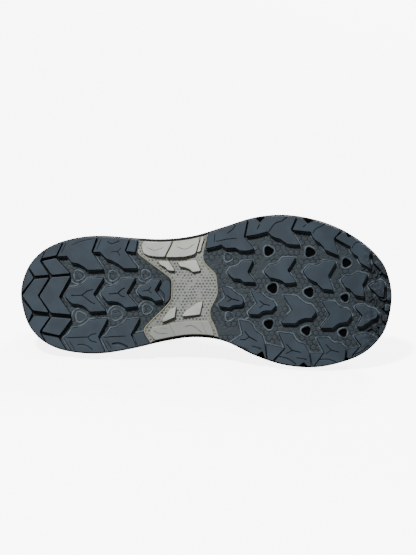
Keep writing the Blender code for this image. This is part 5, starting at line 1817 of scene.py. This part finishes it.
@dataclass
class Upper:
    """Knitted upper with its lining, collar roll, overlays, bands and stitches."""

    shop: Workshop
    form: UpperForm = field(default_factory=UpperForm)
    columns: int = 300
    levels: int = 40
    wall: float = 2 * MM
    collar: float = 5 * MM
    collar_end: float = 7.6
    film_gap: float = 0.5 * MM
    film: float = 1.2 * MM
    film_edge: float = 0.45 * MM
    film_columns: int = 10
    film_rows: int = 13
    band: float = 0.5 * MM
    band_edge: float = 0.2 * MM
    roll_sides: int = 16
    stitch: float = 2.2 * MM
    stitch_pitch: float = 3.0 * MM
    thread: float = 0.26 * MM

    def build_shell(self) -> Object:
        """Make the wall, thicker at the padded collar, with a lining inside."""
        ribs = np.arange(self.columns) / self.columns * TURN
        rises = np.linspace(0, 1, self.levels + 1)
        sections = [[Vector(spot) for spot in self.form.at(ribs, rise)] for rise in rises]
        shape = lofted(sections, ends=False)
        uv = shape.loops.layers.uv["weave"]
        for face in shape.faces:
            middle = face.calc_center_median()
            for corner in face.loops:
                spot = corner.vert.co
                corner[uv].uv = (spot.x, spot.z) if abs(face.normal.y) > 0.7 else (
                    spot.x, spot.y) if abs(face.normal.z) > 0.7 else (spot.y, spot.z)
        padding = {}
        for rise, row in zip(rises, sections):
            for rib, spot in zip(ribs, row):
                padding[tuple(round(c, 7) for c in spot)] = collar_share(rib, rise)
        order = [padding.get(tuple(round(c, 7) for c in vert.co), 0.0) for vert in shape.verts]
        shell = self.shop.add("upper_shell", shape, (KNIT, LINING), "upper_mesh", ("upper",))
        group = shell.vertex_groups.new(name="padding")
        for index, share in enumerate(order):
            group.add([index], share, "REPLACE")
        wall = shell.modifiers.new("wall", "SOLIDIFY")
        wall.thickness, wall.offset = self.collar, -1
        wall.vertex_group, wall.thickness_vertex_group = group.name, self.wall / self.collar
        wall.use_even_offset, wall.use_rim, wall.material_offset = True, True, 1
        return shell

    def build_collar(self) -> Object:
        """Make the soft roll round the top of the collar."""
        sections = []
        for rib in np.linspace(-self.collar_end, self.collar_end, 121):
            share = collar_share(rib % TURN, 1.0)
            thick = self.wall + (self.collar - self.wall) * share
            outward = self.form.square(rib, 1.0)
            upward = (self.form.spot(rib, 1.0) - self.form.spot(rib, 0.97)).normalized()
            centre = self.form.spot(rib, 1.0, -thick / 2) - upward * 0.4 * MM
            angles = np.linspace(0, 2 * math.pi, self.roll_sides, endpoint=False)
            wide, tall = thick / 2 + 0.7 * MM, 0.9 * MM + 1.3 * MM * share
            sections.append([centre + outward * wide * math.cos(a) + upward * tall * math.sin(a)
                             for a in angles])
        roll = self.shop.add("collar_roll", lofted(sections), (BINDING,), "upper_mesh", (),
                             angle=80)
        return roll

    def film_lines(self, row: Overlay) -> list[list[Vector]]:
        """Rows of places on an overlay, from its low to its high edge."""
        count = int((row.last - row.first) * self.film_columns) + 1
        ribs = np.linspace(row.first, row.last, count)
        middle, spread = (row.first + row.last) / 2, (row.last - row.first) / 2
        columns = []
        for rib in ribs:
            taper = smooth_step(1.6 * (1 - abs(rib - middle) / spread))
            high = row.end + (row.high - row.end) * taper
            rises = row.low + (high - row.low) * np.linspace(0, 1, self.film_rows)
            columns.append([self.form.spot(rib, rise, self.film_gap) for rise in rises])
        return [list(level) for level in zip(*columns)]

    def build_film(self, row: Overlay) -> Object:
        """Make one overlay."""
        shape = lofted(self.film_lines(row), closed=False)
        film = self.shop.add(row.name, shape, (FILM,), "overlay", (row.node,))
        self.thicken(film, self.film, self.film_edge)
        return film

    def thicken(self, sheet: Object, thickness: float, edge: float) -> None:
        """Give a sheet its thickness, outwards, and soften its edges."""
        wall = sheet.modifiers.new("wall", "SOLIDIFY")
        wall.thickness, wall.offset = thickness, 1
        wall.use_even_offset, wall.use_rim = True, True
        soft = sheet.modifiers.new("soft", "BEVEL")
        soft.width, soft.segments, soft.limit_method = edge, 2, "ANGLE"
        soft.angle_limit = math.radians(50)

    def build_bands(self) -> Object:
        """Make the thin welded bands on both quarters."""
        shape, step = bmesh.new(), 0.05
        for row in BANDS:
            for flip in (False, True):
                rows = []
                for share in np.linspace(0, 1, 24):
                    rib = row.top + (row.foot - row.top) * share
                    rise = row.high + (row.low - row.high) * share
                    place = TURN - rib if flip else rib
                    length = np.linalg.norm(self.form.smooth([place + step], rise)
                                            - self.form.smooth([place - step], rise))
                    half = row.width * MM / 2 / (length / (2 * step))
                    places = np.linspace(place + half, place - half, 5)
                    rows.append([self.form.spot(spot, rise, 0.12 * MM) for spot in places])
                added(shape, lofted(rows, closed=False))
        bands = self.shop.add("quarter_bands", shape, (FILM,), "overlay")
        self.thicken(bands, self.band, self.band_edge)
        return bands

    def stitch_line(self, shape: BMesh, line: Sequence[Vector]) -> None:
        """Sew along a line: short rounded stitches, a few dozen faces each.

        Args:
            shape: Shape that the stitches go into.
            line: Close places along the seam.
        """
        spots = np.array([tuple(point) for point in line])
        steps = travelled(spots)
        for start in np.arange(0.6 * MM, steps[-1] - 2.4 * MM, self.stitch_pitch):
            ends = [Vector([np.interp(start + shift, steps, spots[:, k]) for k in range(3)])
                    for shift in (0, self.stitch)]
            run = ends[1] - ends[0]
            turn = run.to_track_quat("X", "Z").to_matrix().to_4x4()
            size = Matrix.Diagonal((run.length / 2, self.thread, self.thread, 1))
            middle = Matrix.Translation((ends[0] + ends[1]) / 2)
            bmesh.ops.create_uvsphere(shape, u_segments=6, v_segments=4, radius=1,
                                      matrix=middle @ turn @ size)

    def build_stitches(self) -> Object:
        """Sew the eyestay, the collar and the heel counter."""
        shape = bmesh.new()
        shape.loops.layers.uv.new("weave")
        top = self.film_gap + self.film + 0.1 * MM
        eyestay = np.linspace(7.1, TURN - 7.1, 300)
        collar = np.linspace(-6.8, 6.8, 200)
        for ribs, rise, lift in ((eyestay, 0.825, top), (eyestay, 0.965, top),
                                 (collar, 0.80, 0.1 * MM), (collar, 0.83, 0.1 * MM)):
            self.stitch_line(shape, [self.form.spot(rib, rise, lift) for rib in ribs])
        for row in OVERLAYS[:2]:
            high = self.film_lines(row)[-2]
            self.stitch_line(shape, [spot + (spot - Vector((spot.x, 0, 50 * MM))).normalized()
                                     * (self.film + 0.05 * MM) for spot in high])
        return self.shop.add("stitches", shape, (THREAD,), "overlay")


@dataclass
class Tongue:
    """Padded tongue, puffed up by cloth simulation from its frame solid."""

    shop: Workshop
    voxel: float = 4 * MM
    pressure: float = 4.0
    frames: int = 20
    cap: float = 1.6 * MM

    def build(self) -> Object:
        """Remesh the frame's tongue, puff it up, and smooth it."""
        source = self.shop.nodes["tongue"]
        shape = bmesh.new()
        shape.from_mesh(source.data)
        bmesh.ops.remove_doubles(shape, verts=shape.verts, dist=1e-6)
        pad = temporary("tongue_pad", shape)
        shape.free()
        mesher = pad.modifiers.new("mesher", "REMESH")
        mesher.mode, mesher.voxel_size = "VOXEL", self.voxel / 2
        self.apply(pad)
        start = [vert.co.copy() for vert in pad.data.vertices]
        cloth = pad.modifiers.new("cloth", "CLOTH")
        cloth.settings.use_pressure = True
        cloth.settings.uniform_pressure_force = self.pressure
        cloth.settings.effector_weights.gravity = 0
        cloth.point_cache.frame_start, cloth.point_cache.frame_end = 1, self.frames
        for frame in range(1, self.frames + 1):
            bpy.context.scene.frame_set(frame)
        self.apply(pad)
        bpy.context.scene.frame_set(1)
        shape = bmesh.new()
        shape.from_mesh(pad.data)
        shape.verts.ensure_lookup_table()
        for vert, spot in zip(shape.verts, start):
            move = vert.co - spot
            if move.length > self.cap:
                vert.co = spot + move.normalized() * self.cap
        bmesh.ops.smooth_vert(shape, verts=shape.verts, factor=0.5, use_axis_x=True,
                              use_axis_y=True, use_axis_z=True)
        bmesh.ops.transform(shape, matrix=self.shop.to_shoe, verts=shape.verts)
        mapped(shape)
        discard(pad)
        tongue = self.shop.add("padded_tongue", shape, (KNIT,), "upper_mesh", ("tongue",),
                               angle=180)
        smooth = tongue.modifiers.new("smooth", "SUBSURF")
        smooth.levels = smooth.render_levels = 1
        return tongue

    def apply(self, thing: Object) -> None:
        """Turn what a thing's modifiers make into its mesh."""
        graph = bpy.context.evaluated_depsgraph_get()
        made = bpy.data.meshes.new_from_object(thing.evaluated_get(graph))
        thing.modifiers.clear()
        old, thing.data = thing.data, made
        bpy.data.meshes.remove(old)


@dataclass
class Lacing:
    """Eyelet rings, and two laces that cross over the tongue from the toe to the top pair."""

    shop: Workshop
    form: UpperForm
    pairs: int = 6
    first: float = 7.75
    last: float = 12.6
    rise: float = 0.90
    floor: float = 2.0 * MM
    ring_radius: float = 2.6 * MM
    ring_wire: float = 0.75 * MM
    width: float = 5 * MM
    thickness: float = 1.3 * MM
    slant: float = 0.2
    sides: int = 16
    corner: float = 0.6

    def ribs(self) -> np.ndarray:
        """Ribs of the outer side's eyelets, from the top pair to the toe."""
        return np.linspace(self.first, self.last, self.pairs)

    def build_rings(self) -> list[Object]:
        """Make one ring for each eyelet node."""
        rings = []
        for k, rib in enumerate(self.ribs()):
            for side, place in (("lateral", rib), ("medial", TURN - rib)):
                centre = self.form.spot(place, self.rise, self.floor)
                turn = self.form.square(place, self.rise).to_track_quat("Z", "Y").to_matrix()
                turn = Matrix.Translation(centre) @ turn.to_4x4()
                shape = bmesh.new()
                made = bmesh.ops.create_circle(
                    shape, cap_ends=False, segments=10, radius=self.ring_wire,
                    matrix=Matrix.Translation((self.ring_radius, 0, 0))
                    @ Matrix.Rotation(math.pi / 2, 4, "X"))
                bmesh.ops.spin(shape, geom=[*made["verts"], *shape.edges], cent=(0, 0, 0),
                               axis=(0, 0, 1), angle=2 * math.pi, steps=28, use_merge=True)
                bmesh.ops.remove_doubles(shape, verts=shape.verts, dist=1e-6)
                bmesh.ops.scale(shape, vec=(1, 1, 0.75), verts=shape.verts)
                bmesh.ops.translate(shape, vec=(0, 0, 0.35 * MM), verts=shape.verts)
                bmesh.ops.recalc_face_normals(shape, faces=shape.faces)
                bmesh.ops.transform(shape, matrix=turn, verts=shape.verts)
                rings.append(self.shop.add(f"ring_{side}_{k + 1}", shape, (RING,), "eyelet",
                                           (f"eyelet_{side}_{k + 1}",), angle=80))
        return rings

    def route(self, rows: Sequence[tuple[float, float, float]]) -> list[tuple[Vector, Vector]]:
        """Places and upward directions at ribs, rises and heights off the upper."""
        return [(self.form.spot(rib, rise, height), self.form.square(rib, rise))
                for rib, rise, height in rows]

    def crossing(self, start: float, end: float, lift: float) -> list[tuple[Vector, Vector]]:
        """Places and upward directions of one crossing.

        Args:
            start: Rib of the eyelet that the lace comes up through.
            end: Rib of the eyelet that it goes under, on the other side.
            lift: Extra height where it crosses.

        Returns:
            Pairs of a place and the direction that the lace's face looks in.
        """
        near = start + (TURN - end - start) * self.slant
        far = end + (TURN - start - end) * self.slant
        rows = [(start, self.rise, -1.2 * MM), (start, self.rise, 3.4 * MM),
                (near, 0.985, 3.0 * MM), (far, 1.0, -2.6 * MM), (end, self.rise, -3.0 * MM)]
        spots = self.route(rows)
        towards = (spots[2][0] - spots[1][0]).normalized()
        spots[1] = (spots[1][0] + towards * 2.2 * MM, spots[1][1])
        middle = (spots[2][0] + spots[3][0]) / 2 + Vector((0, 0, lift))
        spots.insert(3, (middle, Vector((0.35, 0, 1)).normalized()))
        return spots

    def flattened(self, value: float) -> float:
        """Push a sine or cosine outwards, so that a round section is nearly square."""
        return math.copysign(abs(value) ** self.corner, value)

    def ribbon(self, spots: Sequence[tuple[Vector, Vector]]) -> BMesh:
        """Flat lace through places, its face turned as they say."""
        line = open_curve([spot for spot, _ in spots], 7)
        faces = open_curve([normal for _, normal in spots], 7)
        sections = []
        for k, (spot, normal) in enumerate(zip(line, faces)):
            ahead = heading(line, k).normalized()
            across = ahead.cross(normal).normalized()
            over = across.cross(ahead).normalized()
            if over.dot(normal) < 0:
                across, over = -across, -over
            angles = np.linspace(0, 2 * math.pi, self.sides, endpoint=False)
            sections.append([spot + across * self.width / 2 * self.flattened(math.cos(a))
                             + over * self.thickness / 2 * self.flattened(math.sin(a))
                             for a in angles])
        return lofted(sections)

    def build_laces(self) -> Object:
        """Run the lace through the eyelets."""
        ribs = self.ribs()
        shape = bmesh.new()
        for flip in (False, True):
            lift = 1.0 * MM if flip else -0.6 * MM
            for above, below in zip(ribs, ribs[1:]):
                start, end = (TURN - below, above) if flip else (below, TURN - above)
                added(shape, self.ribbon(self.crossing(start, end, lift)))
        low = float(ribs[-1])
        rows = [(low, self.rise, -3.0 * MM), (low, 1.0, -2.8 * MM), (TURN - low, 1.0, -2.8 * MM),
                (TURN - low, self.rise, -3.0 * MM)]
        added(shape, self.ribbon(self.route(rows)))
        return self.shop.add("lace_runs", shape, (LACE,), "lace", ("laces",), angle=60)


@dataclass
class Studio:
    """White floor, soft light and the camera that took the photograph."""

    shop: Workshop
    aim: tuple[float, float, float] = (144.0 * MM, -13.9 * MM, 0.0)
    pixel: float = 0.7655 * MM
    frame_height: int = 555
    distance: float = 2.5
    sensor: float = 36.0
    floor_size: float = 30.0
    sky: float = 0.5

    def axes(self) -> list[Vector]:
        """The picture's right, up and front."""
        turned = self.shop.to_row.to_3x3()
        return [turned @ Vector(way) for way in ((1, 0, 0), (0, -1, 0), (0, 0, -1))]

    def build_camera(self) -> None:
        """Look square at the sole, with the outer side of the shoe up."""
        right, up, back = self.axes()
        spot = self.shop.to_row @ Vector(self.aim) + back * self.distance
        data = bpy.data.cameras.new("camera")
        data.sensor_width = self.sensor
        data.lens = self.sensor * self.distance / (self.pixel * self.frame_height)
        data.clip_end = 100
        camera = bpy.data.objects.new("camera", data)
        camera.matrix_world = Matrix.Translation(spot) @ Matrix(
            (right, up, back)).transposed().to_4x4()
        bpy.context.scene.collection.objects.link(camera)
        bpy.context.scene.camera = camera

    def light(self, name: str, direction: tuple[float, float, float], away: float, size: float,
              power: float) -> None:
        """Add a soft light that looks at the sole.

        Args:
            name: Its name.
            direction: Where it stands, from the sole, to the picture's right, up and front.
            away: Its distance.
            size: Its width.
            power: Its power in watts.
        """
        way = sum((axis * part for axis, part in zip(self.axes(), direction)), Vector())
        way.normalize()
        data = bpy.data.lights.new(name, "AREA")
        data.shape, data.size, data.energy = "DISK", size, power
        lamp = bpy.data.objects.new(name, data)
        lamp.matrix_world = Matrix.Translation(
            self.shop.to_row @ Vector(self.aim) + way * away) @ way.to_track_quat(
            "Z", "Y").to_matrix().to_4x4()
        bpy.context.scene.collection.objects.link(lamp)

    def build_floor(self) -> None:
        """Lay the floor and set the world's light."""
        shape = bmesh.new()
        bmesh.ops.create_grid(shape, x_segments=4, y_segments=4, size=self.floor_size / 2)
        mesh = bpy.data.meshes.new("studio_floor")
        shape.to_mesh(mesh)
        shape.free()
        mesh.materials.append(dressed(FloorFinish()))
        floor = bpy.data.objects.new("studio_floor", mesh)
        floor.visible_diffuse = floor.visible_glossy = False
        bpy.context.scene.collection.objects.link(floor)
        world = bpy.data.worlds.new("studio")
        world.use_nodes = True
        sky = world.node_tree.nodes["Background"].inputs
        sky["Color"].default_value, sky["Strength"].default_value = (1, 1, 1, 1), self.sky
        bpy.context.scene.world = world

    def build(self) -> None:
        """Set up the studio."""
        self.build_camera()
        self.build_floor()
        self.light("key", (-0.22, 0.60, 0.78), 4.0, 0.42, 540)
        self.light("fill", (0.30, 0.80, -0.75), 4.0, 1.2, 260)


def main() -> None:
    """Dress the shoe."""
    logging.basicConfig(level=logging.INFO, format="%(message)s")
    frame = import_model()
    shop = Workshop(frame)
    Studio(shop).build()
    outsole = Outsole(shop)
    outsole.build_heel()
    outsole.build_forefoot()
    outsole.build_drains()
    plate = MidfootPlate(shop)
    plate.build()
    plate.build_beads()
    Midsole(shop).build()
    Insole(shop).build()
    upper = Upper(shop)
    upper.build_shell()
    upper.build_collar()
    for row in OVERLAYS:
        upper.build_film(row)
    upper.build_bands()
    upper.build_stitches()
    Tongue(shop).build()
    lacing = Lacing(shop, upper.form)
    lacing.build_rings()
    lacing.build_laces()


if __name__ == "__main__":
    main()
